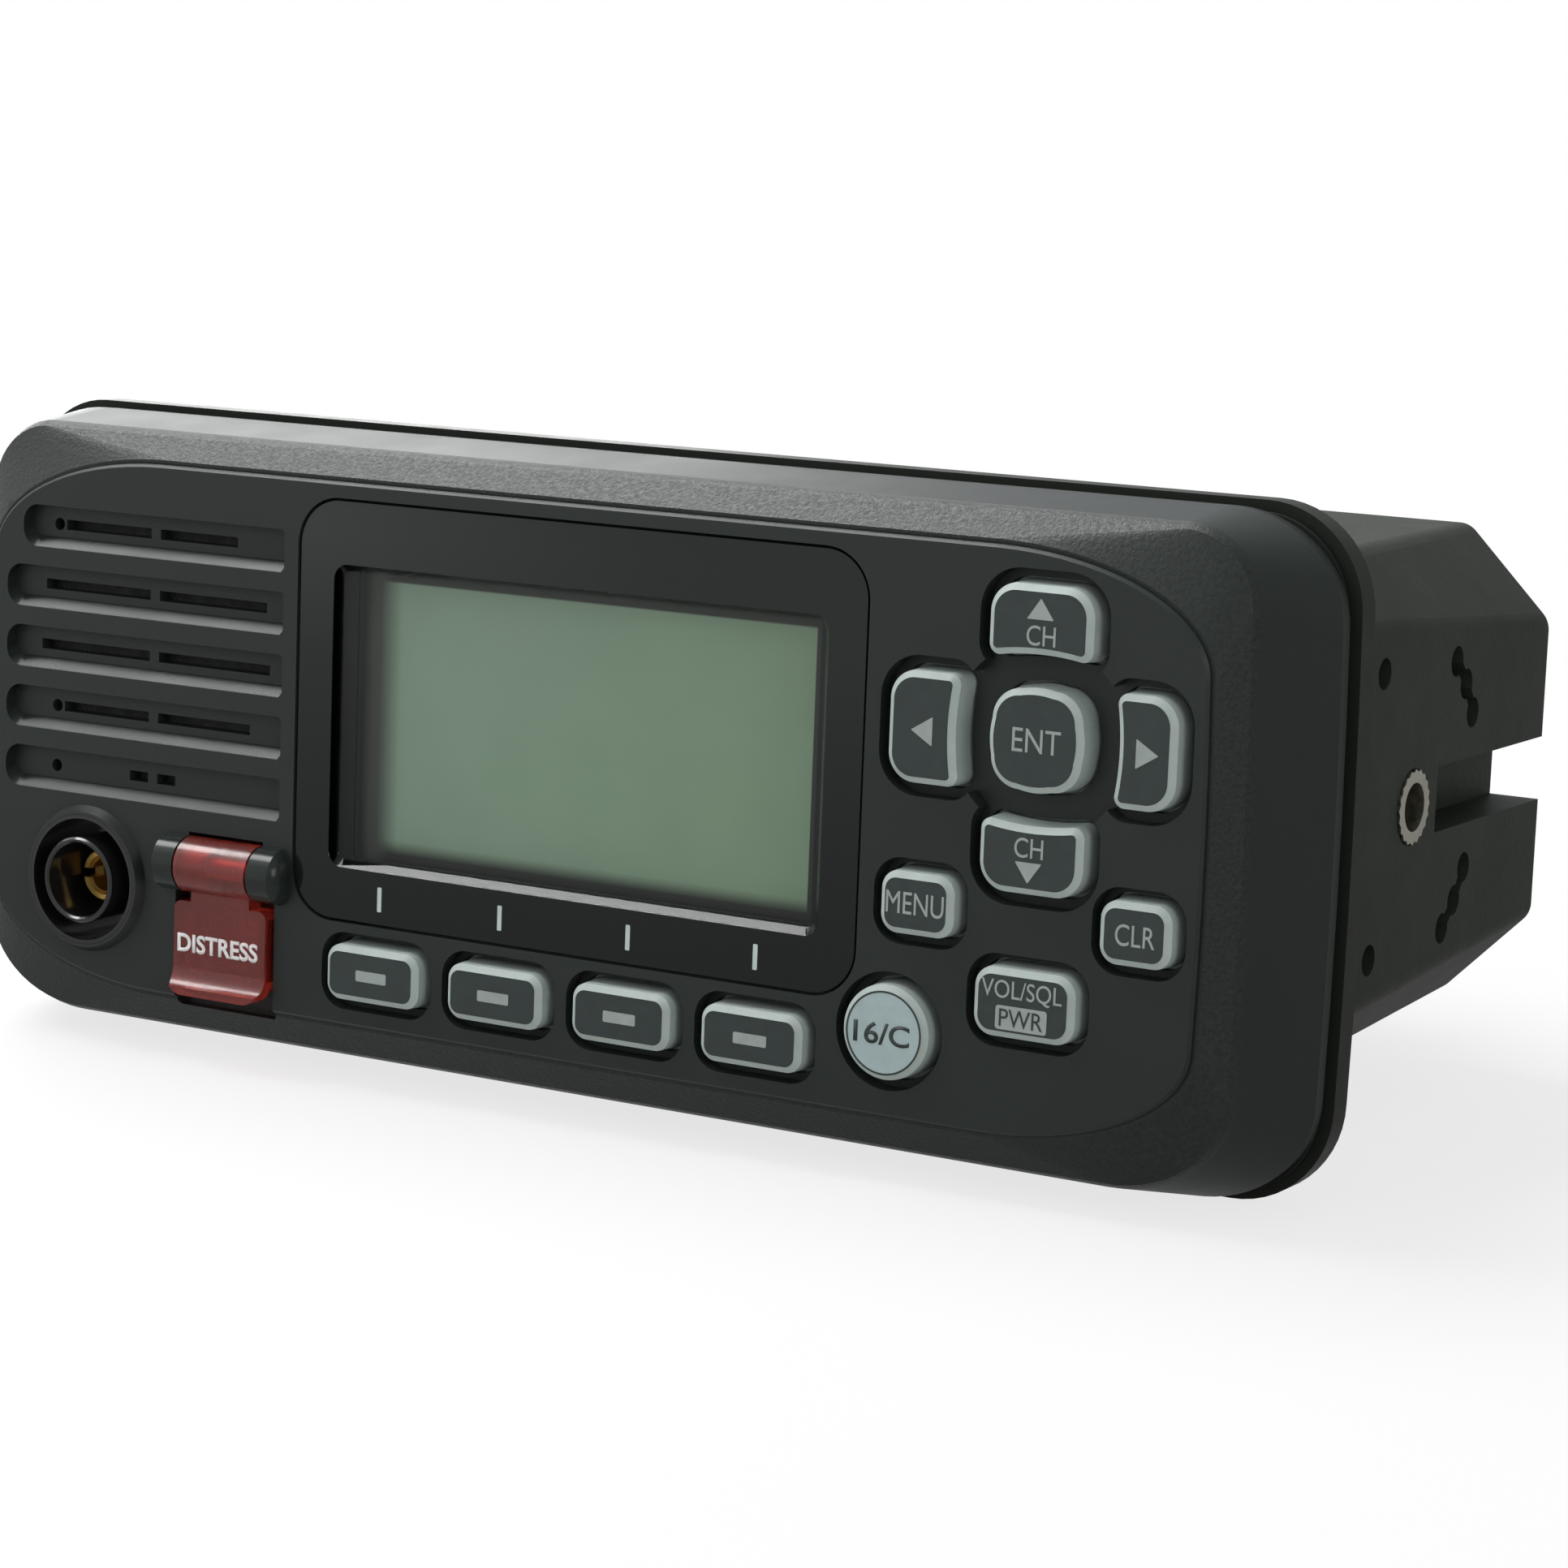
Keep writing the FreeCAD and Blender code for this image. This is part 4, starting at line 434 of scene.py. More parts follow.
def case_plastic():
    """The rear case: grained all over, with a darker and smoother flange."""
    tint = tuple(colours().case)
    finish = Finish("case plastic")
    (y,) = finish.position("Y")
    flange = finish.span(y, 1.0, 0.0, FLANGE_REAR - 0.0004, FLANGE_REAR)
    grain = finish.noise(2400.0, 2.0, 0.5)
    patches = finish.noise(260.0, 3.0)
    tone = clouded(finish, tint, 0.12, 60.0)
    darker = clouded(finish, shade(tint, FLANGE_SHADE), 0.06, 60.0)
    finish.colour(finish.blend(flange, tone, darker))
    finish.rough(finish.mixed(flange, finish.span(patches, 0.51, 0.55), finish.span(patches, 0.40, 0.46)))
    depth = finish.mixed(flange, grain, finish.span(grain, 0.45, 0.55, 0.0, 1.0))
    finish.normal(finish.bump(depth, 0.00005))
    finish.set(Specular_IOR_Level=0.08)
    return finish.material


def seal_rubber():
    """Dull black rubber of the seal and the glands."""
    finish = moulded_plastic("seal rubber", SEAL_BLACK, 0.62, 3000.0, 0.00002)
    finish.set(Specular_IOR_Level=0.12)
    return finish.material


def key_rubber():
    """Pale silicone with a soft bloom and a little sheen."""
    finish = Finish("key rubber")
    tint = tuple(colours().key_side)
    finish.colour(clouded(finish, tint, 0.05, 400.0))
    finish.rough(finish.span(finish.noise(900.0), 0.44, 0.56))
    finish.normal(finish.bump(finish.noise(4200.0, 2.0), 0.000008))
    finish.set(Subsurface_Weight=0.12, Subsurface_Scale=0.0006)
    finish.set(Specular_IOR_Level=0.3)
    return finish.material


def printed_ink(name, colour, roughness=0.42):
    """Screen-printed ink with a slightly uneven film."""
    finish = Finish(name)
    finish.colour(clouded(finish, colour, 0.06, 700.0))
    finish.rough(finish.span(finish.noise(1500.0), roughness - 0.05, roughness + 0.06))
    finish.normal(finish.bump(finish.noise(6000.0, 2.0), 0.000004))
    finish.set(Specular_IOR_Level=0.2)
    return finish.material


def red_rubber():
    """Red rubber of the distress key."""
    return moulded_plastic("red rubber", KEY_RED, 0.5, 3500.0, 0.00001).material


def metal(name, colour, low, high):
    """Plain or plated metal with a fine mottle, its roughness between two limits."""
    finish = Finish(name)
    marks = finish.noise(1800.0, 3.0, 0.6)
    finish.colour(finish.blend(finish.span(marks, 0.0, 1.0), shade(colour, 0.82), colour))
    finish.rough(finish.span(finish.noise(450.0, 3.0, 0.6), low, high))
    finish.normal(finish.bump(marks, 0.00001))
    finish.set(Metallic=1.0)
    return finish.material


def cast_aluminium():
    """Pressure-cast aluminium with a soft pebbled skin."""
    finish = Finish("cast aluminium")
    skin = finish.noise(1300.0, 4.0, 0.65)
    finish.colour(finish.blend(finish.span(skin, 0.0, 1.0), *CAST_TONES))
    finish.rough(finish.span(finish.noise(400.0), 0.42, 0.60))
    finish.normal(finish.bump(skin, 0.00004))
    finish.set(Metallic=0.85)
    return finish.material


def gloss_plastic(name, colour, roughness, specular=0.5):
    """Polished plastic with a very faint wave in its gloss."""
    finish = Finish(name)
    finish.colour(clouded(finish, colour, 0.10, 120.0))
    finish.rough(finish.span(finish.noise(500.0), roughness - 0.03, roughness + 0.05))
    finish.normal(finish.bump(finish.noise(700.0, 2.0), 0.000003))
    finish.set(Specular_IOR_Level=specular)
    return finish.material


def black_border(colour):
    """The dark print behind the window's recess, with a painted shadow at its left."""
    finish = Finish("black border")
    x, z = finish.position("XZ")
    # Painted shadow: a black upright line beside the recess's left edge, fading out towards the top.
    beside = finish.between(x, RECESS_LEFT - 0.0016, RECESS_LEFT - 0.0003, 0.0001)
    shadow = finish.product(beside, finish.span(z, 1.0, 0.0, *SHADOW_TOP_Z))
    finish.colour(finish.blend(shadow, clouded(finish, colour, 0.05, 60.0), SHADOW_BLACK))
    finish.rough(finish.span(finish.noise(90.0), 0.55, 0.62))
    finish.normal(finish.bump(finish.noise(40.0, 2.0), 0.000004))
    finish.set(Specular_IOR_Level=0.10)
    return finish.material


def display_glass():
    """A resting display: painted light pales it to the left, and it fades into a painted shadow at left and
    below.
    """
    finish = Finish("display glass")
    tint = tuple(colours().display)
    x, z = finish.position("XZ")
    low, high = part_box("lcd_glass")
    side = finish.span(x, 0.0, 1.0, low.x, high.x)
    mottled = clouded(finish, tint, 0.03, 150.0)
    # Painted light: the display's area is paler and a little bluer towards its left.
    paler = clouded(finish, (tint[0] * 1.12, tint[1] * 1.08, tint[2] * 1.22), 0.03, 150.0)
    area = finish.blend(side, paler, mottled)
    # Painted shadow: the area fades softly into the frame's tone at its left and foot.
    left = finish.span(x, 0.0, 1.0, *DISPLAY_LEFT_X)
    right = finish.span(x, 1.0, 0.0, *DISPLAY_RIGHT_X)
    above = finish.span(z, 1.0, 0.0, *DISPLAY_TOP_Z)
    below = finish.span(z, 0.0, 1.0, *DISPLAY_FOOT_Z)
    inside = finish.product(right, above, below)
    frame_tone = finish.blend(finish.span(x, 1.0, 0.0, *DISPLAY_FRAME_X), *FRAME_TONES)
    finish.colour(finish.blend(inside, frame_tone, finish.blend(left, frame_tone, area)))
    finish.rough(finish.span(finish.noise(90.0), 0.40, 0.46))
    finish.normal(finish.bump(finish.noise(60.0, 2.0), 0.000004))
    finish.set(Specular_IOR_Level=0.25)
    return finish.material


def clear_window(colour):
    """Clear moulded window: gloss black round its recess, and a Fresnel mirror over a clear film in it."""
    finish = Finish("clear window")
    x, y, z = finish.position()
    # Painted reflection: the gloss black turns paler towards the window's upper left corner.
    corner = finish.product(
        finish.span(x, 1.0, 0.0, *PAINTED_REFLECTION_X), finish.span(z, 0.0, 1.0, *PAINTED_REFLECTION_Z)
    )
    finish.colour(finish.blend(corner, clouded(finish, colour, 0.05, 60.0), PAINTED_REFLECTION_TONE))
    finish.rough(finish.span(finish.noise(60.0), 0.04, 0.07))
    finish.normal(finish.bump(finish.noise(60.0, 1.0), 0.0000001))
    finish.set(Specular_IOR_Level=0.25)
    film = finish.node("ShaderNodeBsdfTransparent")
    tint = finish.blend(finish.span(finish.noise(80.0), 0.0, 1.0), *LENS_TINTS)
    finish.link(tint, film.inputs["Color"])
    mirror = finish.node("ShaderNodeBsdfGlossy")
    finish.link(finish.span(finish.noise(60.0), 0.02, 0.035), mirror.inputs["Roughness"])
    fresnel = finish.node("ShaderNodeFresnel")
    fresnel.inputs["IOR"].default_value = 1.33
    side = finish.node("ShaderNodeNewGeometry")
    front = finish.math("SUBTRACT", 1.0, side.outputs["Backfacing"])
    # Painted shadow: the lens shows no mirror over the dark line beside the recess's left edge.
    dark = finish.between(x, RECESS_LEFT - 0.0001, RECESS_LEFT + 0.0007, 0.0001)
    share = finish.product(fresnel.outputs["Fac"], finish.math("SUBTRACT", 1.0, dark), front)
    recess = finish.mixed_shader(share, film.outputs["BSDF"], mirror.outputs["BSDF"])
    recessed = finish.span(y, 0.0, 1.0, LENS_FRONT + 0.00003, LENS_FRONT + 0.00006)
    finish.show(finish.mixed_shader(recessed, finish.shader.outputs["BSDF"], recess))
    return finish.material


def clear_red():
    """Tinted clear plastic of the cover: red body colour that lets some light through to the key."""
    finish = Finish("clear red plastic")
    finish.colour(clouded(finish, tuple(colours().cover), 0.12, 220.0))
    finish.rough(finish.span(finish.noise(260.0), 0.20, 0.30))
    finish.normal(finish.bump(finish.noise(600.0, 2.0), 0.000006))
    finish.set(Transmission_Weight=0.82, IOR=1.49)
    film = finish.node("ShaderNodeBsdfTransparent")
    film.inputs["Color"].default_value = FILM_RED
    shadowing = finish.rays("Is Shadow Ray")
    finish.show(finish.mixed_shader(shadowing, finish.shader.outputs["BSDF"], film.outputs["BSDF"]))
    return finish.material


def circuit_board():
    """Solder resist over a faint pattern of tracks."""
    finish = Finish("circuit board")
    tracks = finish.node("ShaderNodeTexVoronoi", feature="DISTANCE_TO_EDGE")
    tracks.inputs["Scale"].default_value = 260.0
    finish.link(finish.place, tracks.inputs["Vector"])
    lines = finish.span(tracks.outputs["Distance"], 1.0, 0.0, 0.02, 0.06)
    finish.colour(finish.blend(lines, *BOARD_TONES))
    finish.rough(finish.span(finish.noise(300.0), 0.26, 0.36))
    finish.normal(finish.bump(lines, 0.00002))
    return finish.material


def woven_mesh():
    """Fine woven cloth behind the louvres."""
    finish = Finish("speaker net")
    wave = finish.node("ShaderNodeTexWave", bands_direction="DIAGONAL")
    wave.inputs["Scale"].default_value = 900.0
    finish.link(finish.place, wave.inputs["Vector"])
    finish.colour(finish.blend(wave.outputs["Fac"], *NET_TONES))
    finish.rough(finish.span(finish.noise(700.0), 0.7, 0.85))
    finish.normal(finish.bump(wave.outputs["Fac"], 0.00003))
    return finish.material


def pulp_paper():
    """Pressed paper of the speaker's cone."""
    return moulded_plastic("pulp paper", CONE_GREY, 0.82, 900.0, 0.00008, 0.2).material


# ---- shapes ----

# Where a print starts along y, how thick it is, its ink, the body it rides on and its material slot.
Layer = namedtuple("Layer", "level rise ink body slot")


def panel_point(x, y, z):
    """A point given in millimetres from the middle of the front face."""
    return Vector((x * MM, y * MM, z * MM)) + DATUM


def legend_layer(node, ink, prints_below=0):
    """The layer of a legend on a key's printed face, with other legends of one thickness below it."""
    rise = sizes().legend_rise
    level = KEY_TOP - sizes().print_rise - prints_below * rise
    return Layer(level, rise, ink, node, "key_rubber")


def finish_mesh(bm, name):
    """Merges doubles, points the faces outwards and gives the shape as a mesh."""
    bmesh.ops.remove_doubles(bm, verts=bm.verts, dist=1e-7)
    bmesh.ops.recalc_face_normals(bm, faces=bm.faces)
    made = bpy.data.meshes.new(name)
    bm.to_mesh(made)
    bm.free()
    return made


def add_print(bm, name, layer):
    """Raises a flat print towards the front, closes its back and makes it a piece."""
    solid = bmesh.ops.extrude_face_region(bm, geom=bm.faces[:], use_keep_orig=True)
    lifted = [part for part in solid["geom"] if isinstance(part, bmesh.types.BMVert)]
    bmesh.ops.translate(bm, verts=lifted, vec=(0.0, -layer.rise, 0.0))
    made = finish_mesh(bm, name)
    made.materials.append(layer.ink)
    piece = bpy.data.objects.new(name, made)
    bpy.context.scene.collection.objects.link(piece)
    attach(piece, layer.body)


def stand_up(bm, centre, level):
    """Turns a flat print to face the front, and puts its middle at a place in millimetres."""
    bmesh.ops.rotate(bm, verts=bm.verts, matrix=Matrix.Rotation(math.pi / 2.0, 3, "X"))
    spot = panel_point(centre[0], 0.0, centre[1])
    bmesh.ops.translate(bm, verts=bm.verts, vec=(spot.x, level, spot.z))


def fit_flat(bm, size):
    """Centres a flat print and scales it to a width and height in millimetres."""
    low = Vector((min(v.co.x for v in bm.verts), min(v.co.y for v in bm.verts), 0.0))
    high = Vector((max(v.co.x for v in bm.verts), max(v.co.y for v in bm.verts), 0.0))
    bmesh.ops.translate(bm, verts=bm.verts, vec=-(low + high) / 2.0)
    fit = Vector((size[0] * MM / (high.x - low.x), size[1] * MM / (high.y - low.y), 1.0))
    bmesh.ops.scale(bm, verts=bm.verts, vec=fit)


def round_corners(bm, radius, segments):
    """Rounds the corners of a flat print."""
    bmesh.ops.bevel(
        bm,
        geom=bm.verts[:],
        offset=radius,
        offset_type="OFFSET",
        segments=segments,
        profile=0.5,
        affect="VERTICES",
        material=-1,
    )


def top_outline(node):
    """The flat top of a key as one face, read from a merged copy of the key's own solid."""
    bm = bmesh.new()
    bm.from_mesh(NODES[node].data)
    bmesh.ops.remove_doubles(bm, verts=bm.verts, dist=1e-7)
    bm.normal_update()
    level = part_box(node)[0].y
    others = [
        face
        for face in bm.faces
        if face.normal.y > -0.99 or abs(face.calc_center_median().y - level) > 1e-6
    ]
    bmesh.ops.delete(bm, geom=others, context="FACES")
    bmesh.ops.dissolve_faces(bm, faces=bm.faces[:])
    return bm


def key_print(node, ink):
    """A printed face that follows the key's top, a hair inside its edge."""
    bm = top_outline(node)
    edge = bmesh.ops.inset_region(bm, faces=bm.faces[:], thickness=0.00002, use_even_offset=True)
    bmesh.ops.delete(bm, geom=edge["faces"], context="FACES")
    add_print(bm, node + "_face", Layer(KEY_TOP, sizes().print_rise, ink, node, "key_rubber"))


def lettering(name, words, centre, size, layer, weight=0.0):
    """Plain lettering fitted to a box in millimetres, its strokes made bolder by a weight."""
    text = bpy.data.curves.new(name, "FONT")
    text.body = words
    text.align_x = "CENTER"
    text.resolution_u = 6
    text.offset = weight
    holder = bpy.data.objects.new(name, text)
    bpy.context.scene.collection.objects.link(holder)
    bpy.context.view_layer.update()
    depsgraph = bpy.context.evaluated_depsgraph_get()
    flat = bpy.data.meshes.new_from_object(holder.evaluated_get(depsgraph))
    bpy.data.objects.remove(holder)
    bpy.data.curves.remove(text)
    bm = bmesh.new()
    bm.from_mesh(flat)
    bpy.data.meshes.remove(flat)
    bmesh.ops.remove_doubles(bm, verts=bm.verts, dist=1e-5)
    fit_flat(bm, size)
    stand_up(bm, centre, layer.level)
    add_print(bm, name, layer)


def printed_bar(name, centre, width, height, radius, layer):
    """A flat bar with rounded corners, its width, height and radius in metres."""
    bm = bmesh.new()
    bmesh.ops.create_grid(bm, x_segments=1, y_segments=1, size=0.5)
    bmesh.ops.scale(bm, verts=bm.verts, vec=(width, height, 1.0))
    round_corners(bm, radius, 5)
    stand_up(bm, centre, layer.level)
    add_print(bm, name, layer)


def printed_arrow(name, centre, size, turn, layer):
    """A triangle with softened corners, whose point is turned from upwards by an angle."""
    bm = bmesh.new()
    bmesh.ops.create_circle(bm, cap_ends=True, segments=3, radius=1.0)
    fit_flat(bm, size)
    round_corners(bm, 0.00012, 3)
    bmesh.ops.rotate(bm, verts=bm.verts, matrix=Matrix.Rotation(turn, 3, "Z"))
    stand_up(bm, centre, layer.level)
    add_print(bm, name, layer)


# ---- operators ----


def dress(material, *nodes):
    """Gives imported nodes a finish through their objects' own slots."""
    for node in nodes:
        for material_slot in NODES[node].material_slots:
            material_slot.link = "OBJECT"
            material_slot.material = material


class DressHousing(bpy.types.Operator):
    """Finish the panel, seal, rear case and heat sink"""

    bl_idname = "radio.dress_housing"
    bl_label = "Housing"

    def execute(self, context):
        dress(panel_plastic(), "front_panel")
        dress(case_plastic(), "rear_case")
        dress(seal_rubber(), "main_seal", "power_gland", "signal_gland")
        dress(cast_aluminium(), "heat_sink")
        plated = metal("plated brass", tuple(colours().insert), 0.28, 0.45)
        dress(plated, "insert_left", "insert_right")
        return {"FINISHED"}


class DressWindow(bpy.types.Operator):
    """Finish the window, its black border and the display, and print the marks under it"""

    bl_idname = "radio.dress_window"
    bl_label = "Window"

    def execute(self, context):
        border = tuple(colours().window_border)
        dress(clear_window(border), "window_lens")
        dress(black_border(border), "window_tape")
        dress(display_glass(), "lcd_glass")
        dress(gloss_plastic("white plastic", HOLDER_WHITE, 0.4), "lcd_holder")
        ink = printed_ink("tick ink", tuple(colours().tick), 0.5)
        layer = Layer(LENS_FRONT, sizes().legend_rise, ink, "radio", "window")
        width, height = sizes().tick_width, sizes().tick_height
        for number, x in enumerate(TICKS_X, 1):
            printed_bar(f"window_tick_{number}", (x, TICKS_Z), width, height, 0.0001, layer)
        return {"FINISHED"}


class DressKeys(bpy.types.Operator):
    """Finish the rubber keys and print their faces and legends"""

    bl_idname = "radio.dress_keys"
    bl_label = "Keys"

    def execute(self, context):
        keys = [node for node in NODES if node.startswith("key_") and node != "key_domes"]
        dress(key_rubber(), "keypad_mat", *keys)
        dark = printed_ink("key face ink", tuple(colours().key_face))
        pale = printed_ink("legend ink", tuple(colours().legend))
        silver = printed_ink("round face ink", tuple(colours().round_face))
        for node in keys:
            key_print(node, silver if node == "key_call" else dark)
        for node, words, centre, size in LEGENDS:
            lettering(node + "_legend", words, centre, size, legend_layer(node, pale))
        for node, centre, size, turn in ARROWS:
            printed_arrow(node + "_arrow", centre, size, turn, legend_layer(node, pale))
        width, height = sizes().dash_width, sizes().dash_height
        for number, x in enumerate(DASHES_X, 1):
            node = f"key_soft_{number}"
            printed_bar(node + "_dash", (x, DASHES_Z), width, height, 0.00015, legend_layer(node, pale))
        plate = legend_layer("key_power", pale)
        printed_bar("key_power_plate", PLATE_CENTRE, 5.3 * MM, 2.25 * MM, 0.0003, plate)
        word = legend_layer("key_power", dark, 1)
        lettering("key_power_word", "PWR", PLATE_CENTRE, (4.5, 1.65), word)
        round_key = legend_layer("key_call", dark)
        lettering("key_call_legend", "16/C", (38.9, -18.15), (6.0, 2.1), round_key, 0.015)
        self.print_ring(round_key)
        return {"FINISHED"}

    def print_ring(self, layer):
        """The thin dark ring round the legend of the round key."""
        low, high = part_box("key_call")
        bm = bmesh.new()
        radius = sizes().ring_radius
        half = sizes().ring_width / 2.0
        first = bm.verts.new((radius - half, 0.0, 0.0))
        second = bm.verts.new((radius + half, 0.0, 0.0))
        side = bm.edges.new((first, second))
        bmesh.ops.spin(
            bm,
            geom=[first, second, side],
            axis=(0.0, 1.0, 0.0),
            angle=math.tau,
            steps=72,
            use_merge=True,
        )
        middle = (low + high) / 2.0
        bmesh.ops.translate(bm, verts=bm.verts, vec=(middle.x, layer.level, middle.z))
        add_print(bm, "key_call_ring", layer)


class DressDistress(bpy.types.Operator):
    """Finish the distress key and its clear cover, and print the word on the cover"""

    bl_idname = "radio.dress_distress"
    bl_label = "Distress key"

    def execute(self, context):
        dress(clear_red(), "distress_cover")
        dress(red_rubber(), "distress_key")
        ink = printed_ink("white ink", WORD_WHITE, 0.45)
        layer = Layer(COVER_FRONT, sizes().legend_rise, ink, "distress_cover", "red_clear")
        lettering("distress_word", "DISTRESS", (-39.3, -20.25), (10.3, 1.95), layer, 0.028)
        return {"FINISHED"}


class DressSockets(bpy.types.Operator):
    """Finish the microphone socket, the antenna socket and their contacts"""

    bl_idname = "radio.dress_sockets"
    bl_label = "Sockets"

    def execute(self, context):
        dress(gloss_plastic("gloss black plastic", SOCKET_BLACK, 0.13), "mic_socket_body")
        dress(gloss_plastic("collar plastic", COLLAR_BLACK, 0.34, 0.35), "mic_socket_collar")
        dress(gloss_plastic("insulator", INSULATOR_WHITE, 0.35), "antenna_insulator")
        gold = metal("gold plate", tuple(colours().contact), 0.26, 0.40)
        dress(gold, "mic_socket_contact", "antenna_contact")
        dress(metal("nickel plate", NICKEL, 0.16, 0.30), "antenna_socket")
        return {"FINISHED"}


class DressInside(bpy.types.Operator):
    """Finish the speaker, boards, screws and other pieces inside"""

    bl_idname = "radio.dress_inside"
    bl_label = "Inside"

    def execute(self, context):
        steel = metal("zinc steel", STEEL, 0.24, 0.40)
        dress(
            steel,
            "distress_pin",
            "distress_spring",
            "key_domes",
            "front_board_screws",
            "main_board_screws",
            "case_screws",
            "heat_sink_screws",
            "speaker_frame",
        )
        dress(metal("tin plate", TIN, 0.30, 0.46), "shield_can")
        dress(woven_mesh(), "speaker_net")
        dress(pulp_paper(), "speaker_cone")
        dress(metal("magnet", MAGNET_GREY, 0.35, 0.5), "speaker_magnet")
        dress(circuit_board(), "front_board", "main_board")
        dress(gloss_plastic("amber film", FILM_AMBER, 0.3), "flex_cable")
        ceramic = moulded_plastic("ceramic", CERAMIC, 0.6, 1500.0, 0.00002)
        dress(ceramic.material, "power_module")
        return {"FINISHED"}


class SetStage(bpy.types.Operator):
    """Lay the floor, hang the lamps and place the camera"""

    bl_idname = "radio.set_stage"
    bl_label = "Studio"

    def execute(self, context):
        self.lay_floor()
        self.light_world()
        self.hang_lamps()
        self.place_camera()
        bpy.context.scene.view_settings.view_transform = "Standard"
        return {"FINISHED"}

    def lay_floor(self):
        bm = bmesh.new()
        bmesh.ops.create_grid(bm, x_segments=2, y_segments=2, size=sizes().floor_size / 2.0)
        bmesh.ops.translate(bm, verts=bm.verts, vec=(0.0, 0.0, -0.0004))
        made = finish_mesh(bm, "floor")
        made.materials.append(self.floor_paper())
        floor = bpy.data.objects.new("floor", made)
        bpy.context.scene.collection.objects.link(floor)

    def floor_paper(self):
        """Pale paper that keeps the shadow, whitens with distance, and is paler where it is mirrored."""
        finish = Finish("floor paper")
        finish.colour(clouded(finish, PAPER, 0.01, 4.0))
        finish.rough(finish.span(finish.noise(30.0), 0.85, 0.95))
        reach = finish.node("ShaderNodeVectorMath", operation="LENGTH")
        finish.link(finish.place, reach.inputs[0])
        seen = finish.rays("Is Camera Ray", "Is Transmission Ray")
        mirrored = finish.rays("Is Glossy Ray")
        far = finish.span(reach.outputs["Value"], 0.76, 1.0, 0.12, 0.50)
        share = finish.math("MAXIMUM", finish.product(seen, far), mirrored)
        (x,) = finish.position("X")
        distant = finish.span(reach.outputs["Value"], 0.60, 1.15, 0.12, 0.42)
        leftward = finish.span(x, 1.0, 0.35, -0.02, 0.26)
        plain = finish.math("SUBTRACT", 1.0, mirrored)
        glow = finish.node("ShaderNodeEmission")
        glow.inputs["Color"].default_value = WHITE
        strength = finish.math("ADD", plain, finish.product(distant, leftward, mirrored))
        finish.link(strength, glow.inputs["Strength"])
        finish.show(finish.mixed_shader(share, finish.shader.outputs["BSDF"], glow.outputs["Emission"]))
        return finish.material

    def light_world(self):
        """Soft room light on the radio, and plain white where the backdrop is seen."""
        world = bpy.data.worlds.new("studio")
        bpy.context.scene.world = world
        world.use_nodes = True
        nodes = Nodes(world.node_tree)
        soft = world.node_tree.nodes["Background"]
        soft.inputs["Color"].default_value = ROOM_TINT
        nodes.link(self.room_light(nodes), soft.inputs["Strength"])
        white = nodes.node("ShaderNodeBackground")
        white.inputs["Color"].default_value = WHITE
        white.inputs["Strength"].default_value = 1.0
        seen = nodes.rays("Is Camera Ray", "Is Transmission Ray")
        shown = nodes.mixed_shader(seen, soft.outputs["Background"], white.outputs["Background"])
        nodes.link(shown, world.node_tree.nodes["World Output"].inputs["Surface"])

    def room_light(self, nodes):
        """The room's own light: paler where it is mirrored, and dimmer on the right and behind."""
        sight = nodes.node("ShaderNodeTexCoord")
        split = nodes.node("ShaderNodeSeparateXYZ")
        nodes.link(sight.outputs["Generated"], split.inputs["Vector"])
        mirrored = nodes.span(nodes.rays("Is Glossy Ray"), 0.75, 1.0, 0.0, 1.0)
        across = nodes.span(split.outputs["X"], 1.0, 0.55, 0.0, 0.9)
        behind = nodes.span(split.outputs["Y"], 1.0, 0.60, 0.2, 0.9)
        return nodes.product(mirrored, across, behind)

    def hang_lamps(self):
        for name, place, aim, width, height, power in LAMPS:
            lamp = bpy.data.lights.new(name, "AREA")
            lamp.shape = "RECTANGLE"
            lamp.size = width
            lamp.size_y = height
            lamp.energy = power
            holder = bpy.data.objects.new(name, lamp)
            bpy.context.scene.collection.objects.link(holder)
            holder.location = place
            sight = Vector(aim) - Vector(place)
            holder.rotation_euler = sight.to_track_quat("-Z", "Y").to_euler()

    def place_camera(self):
        """Looks at the radio from its right and a little above, turned by a small roll."""
        data = bpy.data.cameras.new("camera")
        data.sensor_width = SENSOR_WIDTH
        data.lens = SENSOR_WIDTH * FOCAL_PIXELS / FRAME_PIXELS
        data.clip_start = 0.01
        data.clip_end = 20.0
        camera = bpy.data.objects.new("camera", data)
        bpy.context.scene.collection.objects.link(camera)
        turn = (
            Matrix.Rotation(CAMERA_AZIMUTH, 4, "Z")
            @ Matrix.Rotation(math.pi / 2.0 - CAMERA_ELEVATION, 4, "X")
            @ Matrix.Rotation(CAMERA_ROLL, 4, "Z")
        )
        camera.matrix_world = Matrix.Translation(panel_point(*CAMERA_PLACE)) @ turn
        bpy.context.scene.camera = camera


class RadioPanel(bpy.types.Panel):
    """Operators and settings of the radio in the sidebar"""

    bl_idname = "RADIO_PT_finishes"
    bl_label = "Marine radio"
    bl_space_type = "VIEW_3D"
    bl_region_type = "UI"
    bl_category = "Radio"

    def draw(self, context):
        layout = self.layout
        for operator in OPERATORS:
            layout.operator(operator.bl_idname)
        for group in (context.scene.radio_colours, context.scene.radio_sizes):
            box = layout.box()
            for setting in group.__annotations__:
                box.prop(group, setting)


OPERATORS = (
    DressHousing,
    DressWindow,
    DressKeys,
    DressDistress,
    DressSockets,
    DressInside,
    SetStage,
)
CLASSES = (RadioColours, RadioSizes, *OPERATORS, RadioPanel)


def register():
    for made in CLASSES:
        bpy.utils.register_class(made)
    bpy.types.Scene.radio_colours = bpy.props.PointerProperty(type=RadioColours)
    bpy.types.Scene.radio_sizes = bpy.props.PointerProperty(type=RadioSizes)


def unregister():
    del bpy.types.Scene.radio_sizes
    del bpy.types.Scene.radio_colours
    for made in reversed(CLASSES):
        bpy.utils.unregister_class(made)


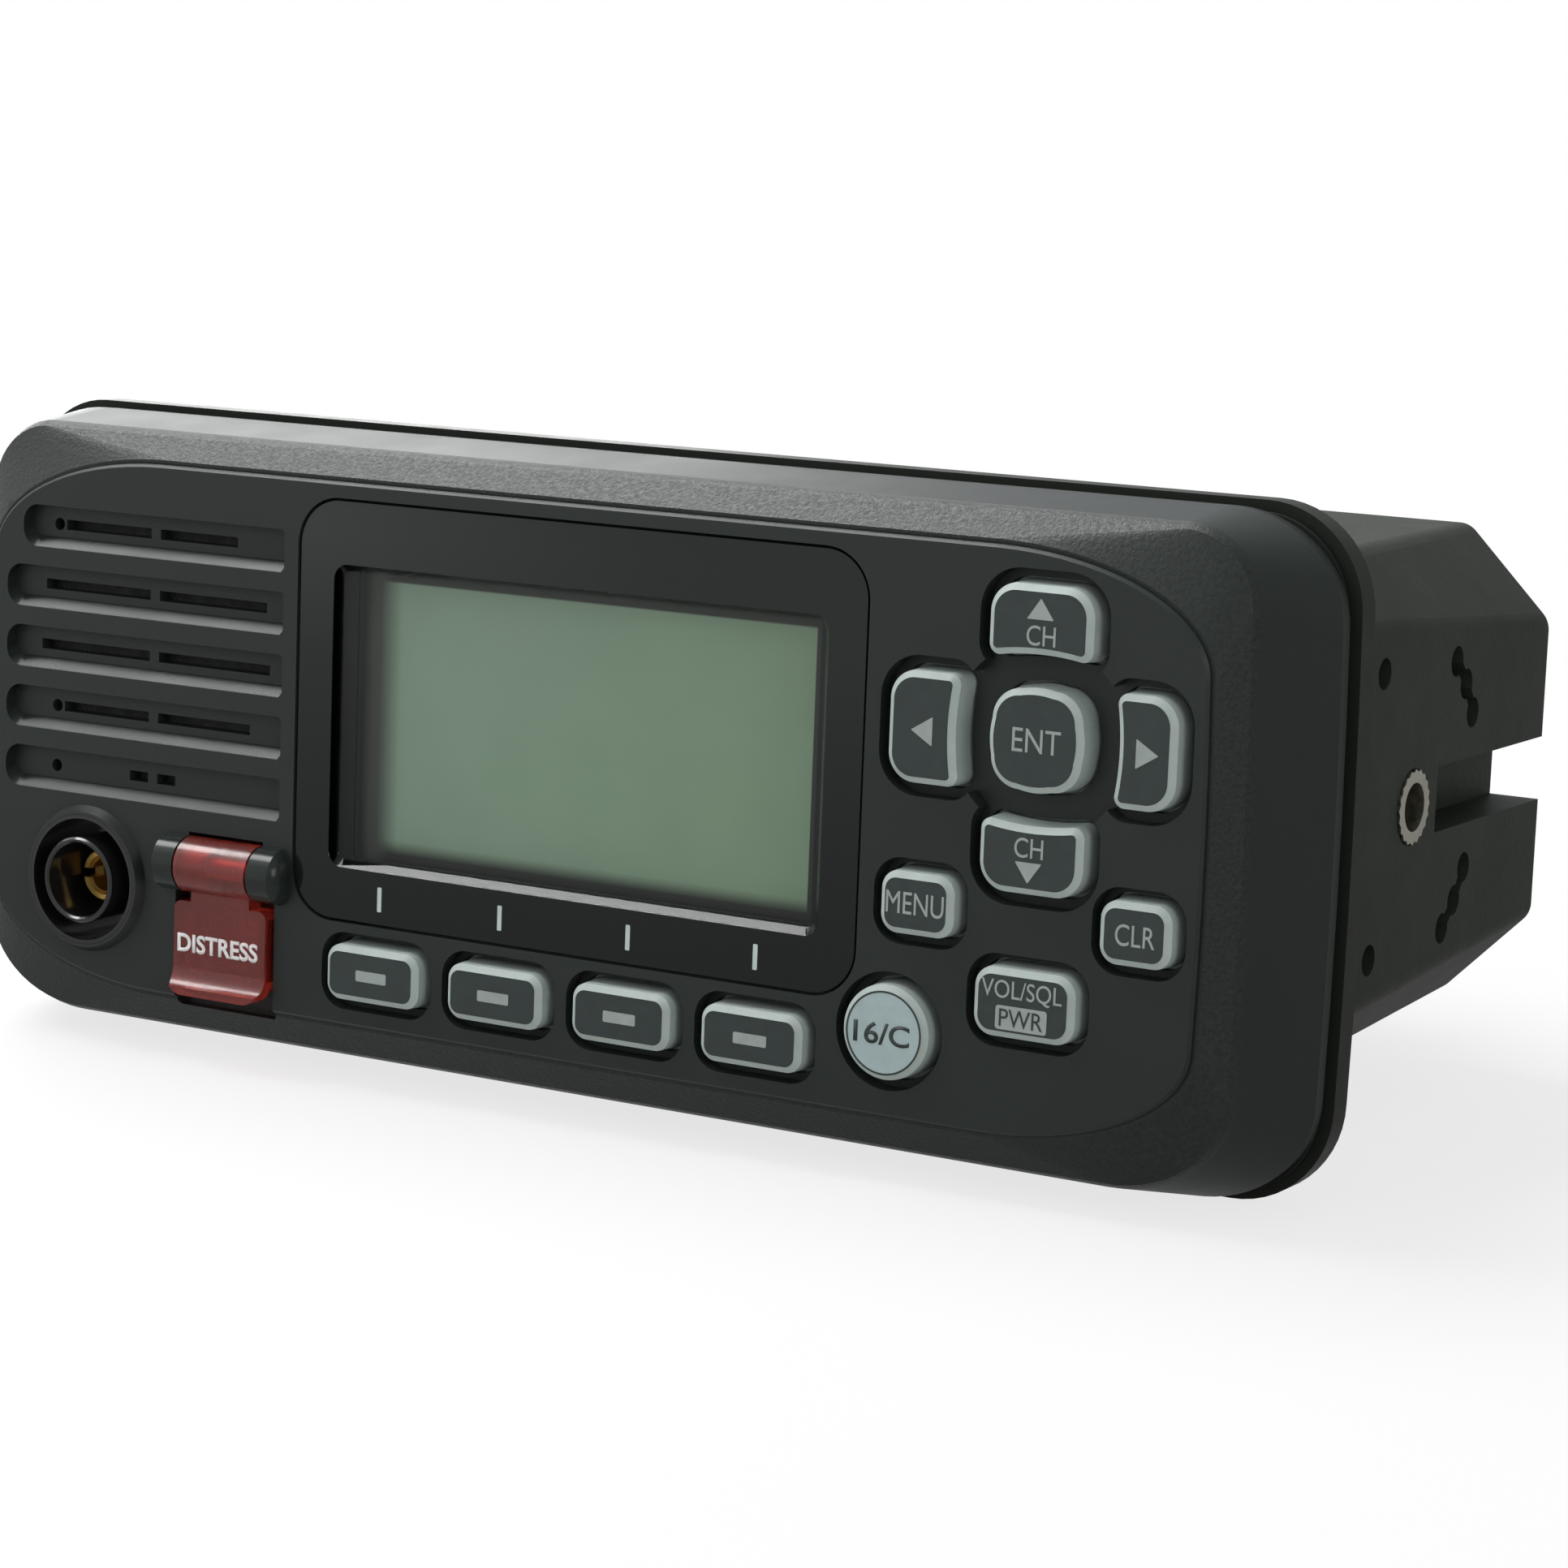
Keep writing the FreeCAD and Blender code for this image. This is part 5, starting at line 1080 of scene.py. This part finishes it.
def main():
    register()
    bpy.ops.radio.dress_housing()
    bpy.ops.radio.dress_window()
    bpy.ops.radio.dress_keys()
    bpy.ops.radio.dress_distress()
    bpy.ops.radio.dress_sockets()
    bpy.ops.radio.dress_inside()
    bpy.ops.radio.set_stage()


if __name__ == "__main__":
    main()
